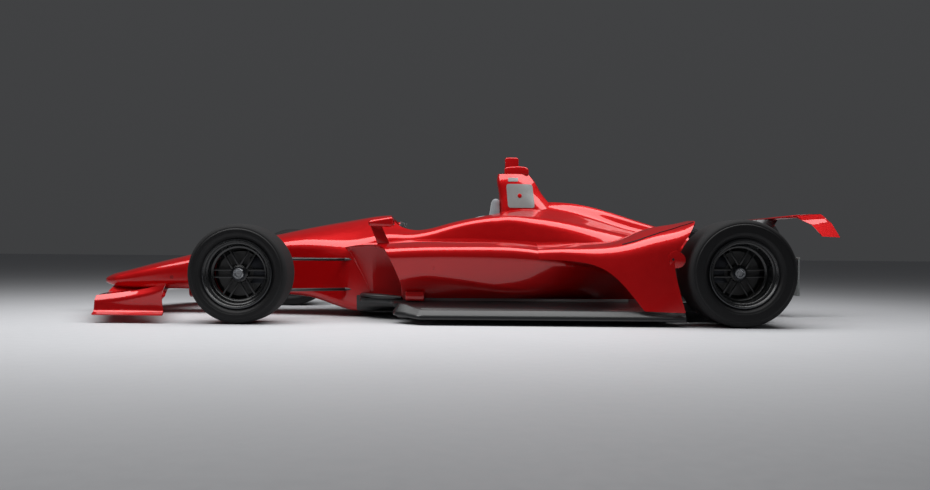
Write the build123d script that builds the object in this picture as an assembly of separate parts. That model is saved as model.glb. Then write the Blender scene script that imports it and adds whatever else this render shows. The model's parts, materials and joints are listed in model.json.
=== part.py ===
"""Open wheel racing car, low-drag oval trim, at full size in millimetres.

The nose points along -X, +Y is the car's right side and +Z is up. The origin is on the ground, under the
middle of the car's length. Panels, wings, wheels, uprights and suspension arms are separate solids.
A body's sections run round the car from the top centre down the +Y side, and are mirrored to the other side.
"""

import math
import os

from build123d import *

os.makedirs("parts", exist_ok=True)

# ---------------------------------------------------------------- driving dimensions
WHEELBASE = 3086.0
FRONT_OVERHANG = 1184.0  # nose tip ahead of the front axle
REAR_OVERHANG = 770.0  # rear wing's end behind the rear axle
WIDTH = 1938.0  # over the tyres
BULKHEAD_AHEAD = 314.0  # joint of nose and tub, ahead of the front axle
CLEAR = 0.3  # gap left between two curved faces that meet
SKIN = 8.0  # thickness of the body panels
TUB_WALL = 28.0  # thickness of the tub's sandwich wall
SIDE_Y = 350.0  # flat side of the tub, where the sidepods bolt on
TUB_BOTTOM = FLOOR_BOTTOM = 40.0
# Shares of the wheelbase behind the front axle: start of the sidepods, end of the tub, end of the flat floor
POD_START, TUB_END, FLOOR_END = 0.206, 0.540, 0.884

# Wheels: tyre radius, tyre width, rim width, spoke face outboard of the wheel's centre plane
FRONT_TYRE_R, FRONT_TYRE_W, FRONT_RIM_W, FRONT_FACE = 307.0, 290.0, 262.0, 70.0
REAR_TYRE_R, REAR_TYRE_W, REAR_RIM_W, REAR_FACE = 333.0, 385.0, 352.0, 72.0
TYRE_WALL = 16.0
SEAT_R = 190.0  # bead seat of the rim
FLANGE_R = 212.0
RIM_WALL = 8.0
SPOKE_RING_R = 160.0  # inner edge of the band that carries the spokes
SPOKE_PAIRS = 6
SPOKE_GAP, SPOKE_W, SPOKE_T = 44.0, 13.0, 18.0
HUB_R = 58.0
HUB_IN = 34.0  # hub's inner face inboard of the wheel's centre plane
NUT_R, NUT_L = 34.0, 30.0
DISC_R, DISC_T = 139.0, 30.0
CALIPER_GAP = 6.0  # disc to caliper, on every side
CALIPER_T, CALIPER_OUT_T = 22.0, 10.0  # walls inboard and outboard of the disc
DUCT_R, DUCT_T = 168.0, 4.0  # backplate of the brake duct
SPINDLE_R = 24.0
SPINDLE_CAP = 30.0  # from the end of the spindle's bore to the spokes' outer side
RUNNING = 0.05  # radial clearance of a shaft in its bearing

# Uprights and suspension, measured from the wheel's centre
KINGPIN_IN = 112.0  # kingpin inboard of the wheel's centre plane
UPPER_BALL, LOWER_BALL = 90.0, 112.0  # ball joints above and below the axle
EYE_R, EYE_H, PIN_R = 18.0, 24.0, 8.0
EYE_GAP = 6.0
LEG_R = 11.0
ARM_AHEAD, ARM_Z = 100.0, 0.0  # steering arm's pin ahead of the kingpin, and above the axle
ROD_R, ROD_EYE_R, ROD_PIN_R = 9.0, 20.0, 6.0
ROD_EYE_BORE, ROD_EYE_H = 12.0, 22.0
DRIVESHAFT_R = 17.0

# Floor and guards
FLOOR_Y = 930.0
FLOOR_TOP = 138.0
DIFFUSER_Y = 560.0
DIFFUSER_END = 315.0  # behind the rear axle
GUARD_T = 12.0

# Wings
FRONT_WING_Y = 900.0
ENDPLATE_T = 12.0
REAR_WING_Y = 470.0
REAR_TIP_Y = 515.0

LENGTH = FRONT_OVERHANG + WHEELBASE + REAR_OVERHANG
NOSE_X = -LENGTH / 2
FRONT_AXLE_X = NOSE_X + FRONT_OVERHANG
REAR_AXLE_X = FRONT_AXLE_X + WHEELBASE
TAIL_X = REAR_AXLE_X + REAR_OVERHANG
BULKHEAD_X = FRONT_AXLE_X - BULKHEAD_AHEAD
NOSE_LENGTH = BULKHEAD_X - NOSE_X
FRONT_WHEEL_Y = (WIDTH - FRONT_TYRE_W) / 2
REAR_WHEEL_Y = (WIDTH - REAR_TYRE_W) / 2
BIG = 6000.0


# ---------------------------------------------------------------- shape helpers
def rounded_wire(points, radii):
    """Closed wire of straight lines with tangent arcs; an arc takes at most 0.45 of its shorter side."""
    corner = [Vector(*p) for p in points]
    count = len(corner)
    cuts = []
    for i in range(count):
        before, here, after = corner[i - 1], corner[i], corner[(i + 1) % count]
        if radii[i] <= 0:
            cuts.append((here, None, here))
            continue
        u, v = (before - here).normalized(), (after - here).normalized()
        half = math.radians(u.get_angle(v)) / 2
        reach = min(radii[i] / math.tan(half), 0.45 * min((before - here).length, (after - here).length))
        radius = reach * math.tan(half)
        middle = here + (u + v).normalized() * (radius / math.sin(half) - radius)
        cuts.append((here + u * reach, middle, here + v * reach))
    edges = []
    for i in range(count):
        start, middle, end = cuts[i]
        if middle is not None:
            edges.append(Edge.make_three_point_arc(start, middle, end))
        edges.append(Edge.make_line(end, cuts[(i + 1) % count][0]))
    return Wire(edges)


def rings(stations, radii, mirrored=True):
    """One wire per station. A station is (x, [(y, z), ...]) from the top down."""
    wires = []
    for x, half in stations:
        points = [(x, y, z) for y, z in half]
        corners = list(radii)
        if mirrored:
            points += [(x, -y, z) for y, z in reversed(half)]
            corners += list(reversed(radii))
        wires.append(rounded_wire(points, corners))
    return wires


def skinned(stations, radii, mirrored=True):
    """Solid through the stations, straight from each to the next."""
    return Solid.make_loft(rings(stations, radii, mirrored), ruled=True)


def pairs(row):
    """Splits a table row into (x, [(y, z), ...])."""
    return row[0], list(zip(row[1::2], row[2::2]))


def plate(points, y_low, y_high, radius=0.0):
    """Prism between two planes of constant Y, from an outline of (x, z) points."""
    wire = rounded_wire([(x, y_low, z) for x, z in points], [radius] * len(points))
    return Solid.extrude(Face(wire), Vector(0, y_high - y_low, 0))


def slab(points, z_low, z_high, radius=0.0):
    """Prism between two levels, from a plan outline of (x, y) points."""
    wire = rounded_wire([(x, y, z_low) for x, y in points], [radius] * len(points))
    return Solid.extrude(Face(wire), Vector(0, 0, z_high - z_low))


def block(x, y, z):
    """Box from three (low, high) pairs."""
    size = [b - a for a, b in (x, y, z)]
    return Pos(x[0], y[0], z[0]) * Box(*size, align=(Align.MIN, Align.MIN, Align.MIN))


def bar(start, end, radius):
    """Round bar between two points."""
    a, b = Vector(*start), Vector(*end)
    upright_bar = Cylinder(radius, (b - a).length, align=(Align.CENTER, Align.CENTER, Align.MIN))
    return Plane(origin=a, z_dir=b - a) * upright_bar


def spun(profile, radii=None):
    """Solid of revolution about the +Y axis, from (distance along the axis, radius) points."""
    wire = rounded_wire([(0, y, r) for y, r in profile], radii or [0] * len(profile))
    return Solid.revolve(Face(wire), 360, Axis((0, 0, 0), (0, 1, 0)))


def other_side(shape):
    """Mirror image on the car's other side."""
    return mirror(shape, about=Plane.XZ)


def one(shape):
    """The solid of a shape that is expected to be a single piece: its largest solid."""
    return max(shape.solids(), key=lambda s: s.volume)


def save(name, *shapes):
    """Writes one node from its solids."""
    solids = [s for shape in shapes for s in shape.solids()]
    export_step(solids[0] if len(solids) == 1 else Compound(children=solids), f"parts/{name}.step")


def save_sides(name, shape):
    """Writes NAME_right from a shape on the +Y side and NAME_left from its mirror image."""
    save(name + "_right", shape)
    save(name + "_left", other_side(shape))


# ---------------------------------------------------------------- body sections
def along(share):
    """X at a share of the wheelbase behind the front axle."""
    return FRONT_AXLE_X + share * WHEELBASE


# Nose. share of the nose's length, then y, z of: top edge, shoulder, flank, belly edge
NOSE = [
    (0.000, 30, 238, 62, 234, 74, 222, 52, 208),
    (0.045, 40, 258, 98, 246, 112, 222, 88, 196),
    (0.140, 48, 290, 122, 268, 136, 232, 112, 182),
    (0.360, 52, 342, 142, 312, 156, 270, 128, 174),
    (0.650, 56, 402, 156, 368, 170, 320, 138, 172),
    (1.000, 60, 470, 176, 428, 190, 370, 158, 166),
]
# Tub. share of the wheelbase, then y, z of: top edge, crease, hip, side top, side bottom, keel edge
TUB = [
    (None, 60, 470, 148, 442, 188, 396, 190, 300, 190, 200, 158, 166),
    (0.018, 75, 553, 172, 522, 222, 480, 226, 360, 226, 172, 184, 144),
    (0.110, 82, 612, 196, 562, 272, 492, 276, 380, 276, 150, 226, 120),
    (POD_START, 92, 662, 208, 600, 322, 506, SIDE_Y, 440, SIDE_Y, 70, 322, TUB_BOTTOM),
    (0.277, 100, 695, 214, 618, 330, 536, SIDE_Y, 500, SIDE_Y, 62, 322, TUB_BOTTOM),
    (0.325, 110, 640, 250, 588, 332, 566, SIDE_Y, 520, SIDE_Y, 62, 322, TUB_BOTTOM),
    (0.418, 110, 700, 262, 662, 334, 640, SIDE_Y, 536, SIDE_Y, 62, 322, TUB_BOTTOM),
    (0.514, 100, 752, 240, 730, 334, 706, SIDE_Y, 546, SIDE_Y, 62, 322, TUB_BOTTOM),
    (TUB_END, 92, 762, 222, 736, 333, 709, SIDE_Y, 546, SIDE_Y, 62, 322, TUB_BOTTOM),
]
COVER_TAIL_Z = 450.0  # bottom edge of the engine cover over the rear wishbones
# Engine cover. share of the wheelbase, then y, z of: spine, spine foot, hip, side top, side bottom
COVER = [
    (TUB_END, 92, 762, 222, 736, 333, 709, SIDE_Y, 546, SIDE_Y, 146),
    (0.596, 58, 782, 150, 758, 330, 686, SIDE_Y, 530, SIDE_Y, 146),
    (0.664, 30, 800, 78, 750, 316, 646, SIDE_Y, 512, SIDE_Y, 146),
    (0.731, 24, 770, 64, 690, 288, 612, SIDE_Y, 482, SIDE_Y, 146),
    (0.806, 22, 708, 56, 614, 240, 574, 330, 440, 336, 150),
    (0.887, 20, 637, 50, 566, 180, 532, 232, 480, 232, COVER_TAIL_Z),
    (0.968, 18, 566, 44, 530, 118, 512, 150, 480, 150, COVER_TAIL_Z),
]
# Sidepod, outboard of the tub. share of the wheelbase, then y, z of: the tub's side, shoulder in,
# shoulder out, widest, undercut, foot
POD = [
    (POD_START, SIDE_Y, 500, 640, 474, 752, 446, 776, 404, 742, 290, 650, FLOOR_TOP),
    (0.418, SIDE_Y, 536, 668, 512, 778, 478, 800, 420, 742, 270, 640, FLOOR_TOP),
    (0.563, SIDE_Y, 528, 672, 510, 770, 472, 788, 408, 702, 265, 590, FLOOR_TOP),
    (0.645, SIDE_Y, 512, 610, 470, 712, 440, 730, 384, 640, 256, 530, FLOOR_TOP),
    (0.708, SIDE_Y, 470, 520, 436, 596, 404, 612, 350, 530, 246, 452, FLOOR_TOP),
    (0.770, SIDE_Y, 424, 424, 396, 468, 366, 480, 320, 430, 236, 392, FLOOR_TOP),
    (0.826, SIDE_Y, 380, 362, 370, 370, 346, 374, 312, 366, 236, 358, FLOOR_TOP),
]


def nose_stations():
    """Sections of the nose."""
    return [(NOSE_X + row[0] * NOSE_LENGTH, pairs(row)[1]) for row in NOSE]


def tub_stations(inset=0.0):
    """Sections of the tub; inset moves every point inwards, for the inside of the wall."""
    stations = []
    for row in TUB:
        _, half = pairs(row)
        x = BULKHEAD_X if row[0] is None else along(row[0])
        upper = [(y - inset, z - inset) for y, z in half[:3]]
        side = [(half[3][0] - inset, half[3][1] - inset / 2), (half[4][0] - inset, half[4][1] + inset / 2)]
        keel = [(half[5][0] - inset, half[5][1] + inset)]
        stations.append((x, upper + side + keel))
    return stations


def cover_stations(inset=0.0):
    """Sections of the engine cover, open at the bottom; inset moves the skin inwards."""
    stations = []
    for row in COVER:
        _, half = pairs(row)
        upper = [(y - inset, z - inset) for y, z in half[:4]]
        stations.append((along(row[0]), upper + [(half[4][0] - inset, half[4][1])]))
    return stations


def pod_stations(inset=0.0):
    """Sections of the sidepod on the +Y side, closed along the tub's side."""
    stations = []
    for row in POD:
        _, ((side, top), *upper, undercut, foot) = pairs(row)
        ring = [(side + inset, top - inset)] + [(y - inset, z - inset) for y, z in upper]
        ring += [(undercut[0] - inset, undercut[1]), (foot[0] - inset, foot[1] + inset)]
        stations.append((along(row[0]), ring + [(side + inset, foot[1] + inset)]))
    return stations


# ---------------------------------------------------------------- nose and tub
NOSE_RADII = [30, 26, 22, 16]
TUB_RADII = [60, 30, 34, 12, 20, 24]
nose = skinned(nose_stations(), NOSE_RADII)

tub_outer = skinned(tub_stations(), TUB_RADII)
FRONT_BULKHEAD_T, REAR_BULKHEAD_T = 90.0, 45.0
CAVITY_FRONT, CAVITY_REAR = BULKHEAD_X + FRONT_BULKHEAD_T, along(TUB_END) - REAR_BULKHEAD_T
cavity = skinned(tub_stations(TUB_WALL), [40, 20, 20, 12, 12, 16])
cavity = one(cavity & block((CAVITY_FRONT, CAVITY_REAR), (-BIG, BIG), (-BIG, BIG)))

# Plan of the cockpit's mouth: share of the wheelbase, half width
MOUTH = [(0.279, 110), (0.300, 200), (0.352, 262), (0.482, 262), (0.506, 210)]


def mouth_prism(inset):
    """Upright prism over the mouth's plan, made smaller by the inset at its sides and its rear."""
    edge = [(along(s) - inset * (s > 0.5), y - inset) for s, y in MOUTH]
    return slab(edge + [(x, -y) for x, y in reversed(edge)], 420.0, 1200.0, 40.0)


mouth = mouth_prism(0.0)
TANK_X = along(0.640)
TANK_Y, TANK_TOP = 290.0, 600.0
tank = block((along(TUB_END), TANK_X), (-TANK_Y, TANK_Y), (TUB_BOTTOM, TANK_TOP))
FRONT_AXLE_Z = FRONT_TYRE_R
REAR_AXLE_Z = REAR_TYRE_R
ROD_X = FRONT_AXLE_X - ARM_AHEAD
ROD_Z = FRONT_AXLE_Z + ARM_Z
rod_hole = bar((ROD_X, -SIDE_Y, ROD_Z), (ROD_X, SIDE_Y, ROD_Z), ROD_R + RUNNING)

# Steering column: it runs from the wheel down through a dash plate
STEER_X, STEER_Z, COLUMN_TILT = along(0.302), 596.0, 14.0
COLUMN_R = 14.0
COLUMN_DIR = Vector(-math.cos(math.radians(COLUMN_TILT)), 0, -math.sin(math.radians(COLUMN_TILT)))
STEER_CENTRE = Vector(STEER_X, 0, STEER_Z)
DASH_X, DASH_T = along(0.232), 20.0
dash = cavity & block((DASH_X - DASH_T, DASH_X), (-BIG, BIG), (470.0, BIG))
column_bore = bar(tuple(STEER_CENTRE), tuple(STEER_CENTRE + COLUMN_DIR * 500), COLUMN_R + RUNNING)

tub = one(tub_outer + tank - cavity - mouth - rod_hole + one(dash) - column_bore)
save("nose", nose)
save("tub", tub)

# ---------------------------------------------------------------- engine cover, roll hoop, camera
COVER_RADII = [14, 26, 40, 24, 0]
cover_solid = skinned(cover_stations(), COVER_RADII)
cover_hollow = skinned(cover_stations(SKIN), COVER_RADII)
tank_room = block((along(TUB_END) - 1, TANK_X + 40), (-TANK_Y - CLEAR, TANK_Y + CLEAR), (0, TANK_TOP + CLEAR))
engine_cover = one(cover_solid - cover_hollow - tank_room)
save("engine_cover", engine_cover)

# Roll hoop fairing. level, then front x, rear x (mm behind the hoop's base front), half width
HOOP_X = along(TUB_END)
HOOP = [
    (690, 8, 400, 118),
    (768, 0, 352, 112),
    (878, -24, 262, 96),
    (962, -44, 212, 80),
    (1003, -36, 172, 60),
]


def hoop_section(level, front, rear, half_width):
    """Level section of the fairing: blunt in front, narrow at the back."""
    x0, x1 = HOOP_X + front, HOOP_X + rear
    blunt = [(x0, half_width * 0.62), (x0 + 50, half_width)]
    half = blunt + [(x1 - 110, half_width * 0.86), (x1, half_width * 0.22)]
    points = half + [(x, -y) for x, y in reversed(half)]
    corner = [14, 40, 40, 10]
    return rounded_wire([(x, y, level) for x, y in points], corner + corner[::-1])


hoop_blank = Solid.make_loft([hoop_section(*row) for row in HOOP], ruled=True)
roll_hoop = one(hoop_blank - cover_solid - tub_outer)
save("roll_hoop", roll_hoop)

HOOP_TOP = HOOP[-1][0]
CAMERA_X, CAMERA_W = HOOP_X - 2.0, 72.0
camera_base = block((CAMERA_X, CAMERA_X + 165), (-CAMERA_W / 2, CAMERA_W / 2), (HOOP_TOP, HOOP_TOP + 52))
camera_base = fillet(camera_base.edges().filter_by(Axis.Z), 22)
camera_head = block((CAMERA_X, CAMERA_X + 92), (-CAMERA_W / 2, CAMERA_W / 2), (HOOP_TOP + 52, HOOP_TOP + 122))
camera_head = fillet(camera_head.edges().filter_by(Axis.Z), 26)
save("camera_pod", one(camera_base + camera_head))

# ---------------------------------------------------------------- sidepods
POD_RADII = [0, 50, 34, 50, 60, 0, 0]
POD_WALL = 14.0
POD_DUCT_END = along(0.440)
pod_solid = skinned(pod_stations(), POD_RADII, mirrored=False)
pod_hollow = skinned(pod_stations(POD_WALL), POD_RADII, mirrored=False)
pod_hollow = pod_hollow & block((-BIG, POD_DUCT_END), (-BIG, BIG), (-BIG, BIG))
# The mouth is swept back outboard and raked back towards the floor: X gained per unit of Y, and per unit down
LIP_SWEEP, LIP_RAKE = 0.52, 0.51
LIP_X, LIP_Z = along(0.209), 480.0
lip_plane = Plane(origin=(LIP_X, SIDE_Y, LIP_Z), z_dir=(1, -LIP_SWEEP, LIP_RAKE))
pod_front_cut = lip_plane * Box(BIG, BIG, BIG, align=(Align.CENTER, Align.CENTER, Align.MAX))
sidepod = one(pod_solid - pod_hollow - pod_front_cut)
save_sides("sidepod", sidepod)

RADIATOR_T = 60.0
radiator_room = pod_hollow & block((POD_DUCT_END - RADIATOR_T, POD_DUCT_END), (-BIG, BIG), (-BIG, BIG))
radiator = one(radiator_room)
save("radiators", radiator, other_side(radiator))

# ---------------------------------------------------------------- wheel guards
# share of the wheelbase, then y, z of: inner edge, crest, shoulder, outer panel's bottom
GUARD = [
    (0.652, 372, 522, 560, 506, 762, 474, 776, 380),
    (0.708, 400, 500, 600, 494, 792, 462, 812, 300),
    (0.770, 470, 522, 640, 528, 846, 482, 872, 70),
    (0.832, 540, 600, 640, 610, 896, 534, 920, 70),
    (0.887, 560, 644, 630, 656, 914, 600, 928, 70),
    (0.912, 566, 660, 630, 670, 914, 650, 928, 70),
]
# Side view of what is left of the guard: share of the wheelbase, z
GUARD_VIEW = [
    (0.652, 410), (0.700, 388), (0.733, 348), (0.758, 284), (0.779, 210), (0.806, 107), (0.806, 60),
    (0.886, 60), (0.878, 166), (0.868, 303), (0.862, 396), (0.875, 491), (0.892, 560), (0.910, 654),
    (0.911, 760), (0.652, 760),
]
guard_rows = []
for row in GUARD:
    at, (edge, crest, shoulder, bottom) = pairs(row)
    over = [(y, z - GUARD_T) for y, z in (edge, crest)]
    beside = [(shoulder[0] - GUARD_T, shoulder[1] - GUARD_T), (bottom[0] - GUARD_T, bottom[1])]
    guard_rows.append((along(at), [edge, crest, shoulder, bottom] + (over + beside)[::-1]))
guard_blank = skinned(guard_rows, [0, 60, 40, 0, 0, 28, 48, 0], mirrored=False)
guard_view = plate([(along(s), z) for s, z in GUARD_VIEW], 0.0, BIG)

# ---------------------------------------------------------------- floor
# share of the wheelbase, then z of: top, tunnel roof; the tunnels run between two half widths
TUNNEL_IN, TUNNEL_OUT = 230.0, 780.0
FLOOR = [
    (0.220, FLOOR_TOP, 116),
    (0.310, FLOOR_TOP, 106),
    (0.480, FLOOR_TOP, 66),
    (0.640, FLOOR_TOP, 78),
    (FLOOR_END, FLOOR_TOP, 112),
]
FLOOR_EDGE_TOP = 90.0


def floor_half(top, roof):
    """Section of the floor: deck, edge, then the tunnel from its outer wall to the keel."""
    deck = [(FLOOR_Y - 280, top), (FLOOR_Y - 60, FLOOR_EDGE_TOP + 6), (FLOOR_Y, FLOOR_EDGE_TOP)]
    edge = [(FLOOR_Y, FLOOR_BOTTOM + 8), (TUNNEL_OUT + 40, FLOOR_BOTTOM)]
    wall = [(TUNNEL_OUT, roof - 24), (TUNNEL_OUT - 60, roof)]
    return deck + edge + wall + [(TUNNEL_IN + 40, roof), (TUNNEL_IN, FLOOR_BOTTOM)]


# Plan of the floor: share of the wheelbase, half width
FLOOR_PLAN = [(0.222, 470), (0.298, 560), (0.306, 800), (0.360, FLOOR_Y), (FLOOR_END, FLOOR_Y)]
FLOOR_RADII = [0, 20, 20, 14, 20, 6, 20, 20, 4]
floor_blank = skinned([(along(at), floor_half(top, roof)) for at, top, roof in FLOOR], FLOOR_RADII)
plan = [(along(s), y) for s, y in FLOOR_PLAN]
floor_plan = slab(plan + [(x, -y) for x, y in reversed(plan)], -10, 400, 70.0)
DIFFUSER_X = REAR_AXLE_X + DIFFUSER_END
# Diffuser: x, top, roof
DIFFUSER = [
    (along(FLOOR_END), FLOOR_TOP, 112),
    (REAR_AXLE_X, 158, 136),
    (DIFFUSER_X, 226, 208),
]
DIFFUSER_SIDE_BOTTOM, DIFFUSER_SIDE_T = FLOOR_BOTTOM + 30.0, 14.0


def diffuser_half(top, roof):
    """Section of the diffuser: deck, side plate, then the underside."""
    y, low, wall = DIFFUSER_Y, DIFFUSER_SIDE_BOTTOM, DIFFUSER_SIDE_T
    side = [(y - 30, top), (y, top - 12), (y, low), (y - wall, low), (y - wall - 2, roof - 16)]
    return side + [(y - wall - 26, roof), (TUNNEL_IN - 60, roof), (TUNNEL_IN - 74, FLOOR_BOTTOM + 40)]


diffuser = skinned([(x, diffuser_half(top, roof)) for x, top, roof in DIFFUSER], [0, 8, 0, 0, 8, 10, 10, 0])
tub_room = block((-BIG, along(TUB_END) + CLEAR), (-SIDE_Y - CLEAR, SIDE_Y + CLEAR), (-BIG, BIG))
tank_bay = block((0, TANK_X + CLEAR), (-TANK_Y - CLEAR, TANK_Y + CLEAR), (-BIG, BIG))
floor = one(one(floor_blank & floor_plan) + diffuser - tub_room - tank_bay)
STRAKE_X0, STRAKE_X1, STRAKE_T = REAR_AXLE_X - 60.0, DIFFUSER_X - 4.0, 8.0
strake_view = [(STRAKE_X0, 142), (STRAKE_X1, 214), (STRAKE_X1, 100), (STRAKE_X0, 90)]
for y in (260.0, 400.0):
    strake = plate(strake_view, y - STRAKE_T / 2, y + STRAKE_T / 2)
    floor = floor + strake + other_side(strake)
save("floor", one(floor))

guard = one((guard_blank & guard_view) - floor)
save_sides("wheel_guard", guard)

# Skid plate under the tub
SKID_Y, SKID_T = 215.0, 22.0
SKID_HALF = [(POD_START, 0), (POD_START + 0.006, 150), (0.250, SKID_Y), (FLOOR_END - 0.004, SKID_Y)]
skid_half = [(along(s), y) for s, y in SKID_HALF]
skid_plan = skid_half + [(x, -y) for x, y in reversed(skid_half[1:])]
skid = slab(skid_plan, FLOOR_BOTTOM - SKID_T, FLOOR_BOTTOM)
save("skid_plate", skid)

# ---------------------------------------------------------------- engine, gearbox, crash structure
ENGINE_X = along(0.800)
ENGINE_Y, ENGINE_TOP = 185.0, 560.0
engine = block((TANK_X, ENGINE_X), (-ENGINE_Y, ENGINE_Y), (FLOOR_TOP, ENGINE_TOP))
save("engine_block", one(engine))


def case_section(half_width, bottom, top, cut, drop):
    """Half of a case's section with a bevelled corner at its top and bottom."""
    upper = [(half_width - cut, top), (half_width, top - drop)]
    return upper + [(half_width, bottom + drop), (half_width - cut, bottom)]


GEARBOX_END = REAR_AXLE_X + 330.0
# x, half width, bottom, top
GEARBOX = [
    (ENGINE_X, 165, 150, 480),
    (REAR_AXLE_X - 180, 128, 172, 440),
    (REAR_AXLE_X, 128, 186, 430),
    (GEARBOX_END, 84, 280, 425),
]
gearbox = skinned([(x, case_section(*size, 30, 40)) for x, *size in GEARBOX], [14, 20, 20, 14])
save("gearbox", gearbox)

ATTENUATOR_END = REAR_AXLE_X + 675.0
ATTENUATOR = [(GEARBOX_END, 78, 290, 420), (ATTENUATOR_END, 50, 270, 418)]
attenuator = skinned([(x, case_section(*size, 12, 14)) for x, *size in ATTENUATOR], [8, 8, 8, 8])
STARTER_R, STARTER_L = 16.0, 80.0
STARTER_Z = 345.0
starter_hole = bar((ATTENUATOR_END - STARTER_L, 0, STARTER_Z), (ATTENUATOR_END + 5, 0, STARTER_Z), STARTER_R)
save("crash_structure", one(attenuator - starter_hole))

# ---------------------------------------------------------------- front wing
# half span, leading edge x, trailing edge x (behind the nose tip), leading edge z, trailing edge z
FRONT_WING = [
    (0.0, 40, 440, 138, 166),
    (120.0, 44, 450, 138, 166),
    (520.0, 150, 600, 136, 158),
    (FRONT_WING_Y, 300, 712, 134, 148),
]


def wing_section(y, x0, z0, x1, z1, thick, drop):
    """Wing section in a plane of constant Y: nose at (x0, z0), tail at (x1, z1), bulging downwards."""
    chord, middle = x1 - x0, (z0 + z1) / 2
    over = [(x0, z0), (x0 + 0.12 * chord, z0 + thick * 0.4), (x0 + 0.55 * chord, middle + thick * 0.3)]
    tail = [(x1, z1 + 2), (x1, z1 - 2)]
    under = tail + [(x0 + 0.45 * chord, middle - drop), (x0 + 0.1 * chord, z0 - thick * 0.5)]
    return rounded_wire([(x, y, z) for x, z in over + under], [10, 40, 200, 0, 0, 200, 40])


FRONT_WING_T, FRONT_WING_DROP = 26.0, 20.0
wing_half = []
for y, x0, x1, z0, z1 in FRONT_WING:
    wing_half.append(wing_section(y, NOSE_X + x0, z0, NOSE_X + x1, z1, FRONT_WING_T, FRONT_WING_DROP))
wing_right = Solid.make_loft(wing_half, ruled=True)
# Pylons, behind the nose tip and z
FRONT_PYLON = [(60, 140), (130, 240), (330, 240), (300, 150)]
FRONT_PYLON_Y, FRONT_PYLON_T = 70.0, 18.0
pylon_view = [(NOSE_X + x, z) for x, z in FRONT_PYLON]
pylon = plate(pylon_view, FRONT_PYLON_Y - FRONT_PYLON_T / 2, FRONT_PYLON_Y + FRONT_PYLON_T / 2, 12.0)
pylon = one(pylon - nose)
front_wing = wing_right + other_side(wing_right) + pylon + other_side(pylon)
save("front_wing", one(front_wing))

# Endplate: x behind the nose tip, then top z, top inset, upper bulge z, foot level
ENDPLATE = [
    (296, 162, 34, 118, 56),
    (480, 182, 30, 126, 54),
    (620, 208, 8, 142, 52),
    (748, 236, -16, 160, 49),
]
ENDPLATE_Y = FRONT_WING_Y + CLEAR
ENDPLATE_END = 724.0  # behind the nose tip
FOOT_OUT = 48.0


def endplate_half(top, inset, bulge, foot):
    """Section of the plate on the +Y side: outer face down to the foot's lip, and back up the inner face."""
    y = ENDPLATE_Y
    t = ENDPLATE_T
    outer = [(y + t - inset, top), (y + t, bulge), (y + t, foot + 22)]
    lip = [(y + FOOT_OUT, foot + 10), (y + FOOT_OUT, foot)]
    return outer + lip + [(y, foot), (y, bulge - 4), (y - inset, top)]


endplate_rows = [(NOSE_X + x, endplate_half(*section)) for x, *section in ENDPLATE]
endplate = skinned(endplate_rows, [0, 30, 16, 0, 0, 0, 30, 0], mirrored=False)
endplate = endplate & block((-BIG, NOSE_X + ENDPLATE_END), (-BIG, BIG), (-BIG, BIG))
endplate = one(endplate - front_wing)
save_sides("front_endplate", endplate)

# ---------------------------------------------------------------- rear wing
WING_LE, WING_TE = TAIL_X - 318.0, TAIL_X - 108.0
WING_LE_Z, WING_TE_Z = 702.0, 718.0
REAR_WING_T, REAR_WING_DROP = 22.0, 14.0
plane_ends = []
for y in (-REAR_WING_Y, REAR_WING_Y):
    plane_ends.append(wing_section(y, WING_LE, WING_LE_Z, WING_TE, WING_TE_Z, REAR_WING_T, REAR_WING_DROP))
main_plane = Solid.make_loft(plane_ends, ruled=True)
save("rear_wing", main_plane)

TIP_Y = REAR_WING_Y + CLEAR
TIP_T = 11.0
# Endplate, from the wing's end downwards: y, leading edge x (ahead of the tail) and z, trailing edge x and z,
# then the thickness laid off along y and z
REAR_TIP = [
    (TIP_Y, 272, 706, 108, 718, 0, -TIP_T),
    (REAR_TIP_Y - TIP_T, 186, 648, 60, 664, TIP_T, -3),
    (REAR_TIP_Y - TIP_T, 116, 571, 0, 565, TIP_T, 0),
]
tip_wires = []
for y, x0, z0, x1, z1, dy, dz in REAR_TIP:
    lead, trail = (TAIL_X - x0, y, z0), (TAIL_X - x1, y, z1)
    back, front = (TAIL_X - x1, y + dy, z1 + dz), (TAIL_X - x0, y + dy, z0 + dz)
    tip_wires.append(rounded_wire([lead, trail, back, front], [0] * 4))
rear_tip = Solid.make_loft(tip_wires[::-1], ruled=True)
save("rear_endplates", rear_tip, other_side(rear_tip))

# Rear pylons: they lean back from the gearbox to the wing
PYLON_FOOT_X, PYLON_FOOT_CHORD, PYLON_FOOT_Z = REAR_AXLE_X + 190.0, 140.0, 380.0
PYLON_TOP_X, PYLON_TOP_CHORD = WING_LE - 32.0, 150.0
PYLON_IN, PYLON_OUT = 40.0, 52.0
rear_pylon_view = [
    (PYLON_FOOT_X, PYLON_FOOT_Z),
    (PYLON_TOP_X, WING_LE_Z + 58),
    (PYLON_TOP_X + PYLON_TOP_CHORD, WING_LE_Z + 58),
    (PYLON_FOOT_X + PYLON_FOOT_CHORD, PYLON_FOOT_Z),
]
rear_pylon = plate(rear_pylon_view, PYLON_IN, PYLON_OUT)
rear_pylon = rear_pylon & block((-BIG, BIG), (-BIG, BIG), (0.0, WING_LE_Z + 10))
rear_pylon = one(rear_pylon - main_plane - gearbox - attenuator)
save("rear_wing_pylons", rear_pylon, other_side(rear_pylon))

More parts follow.
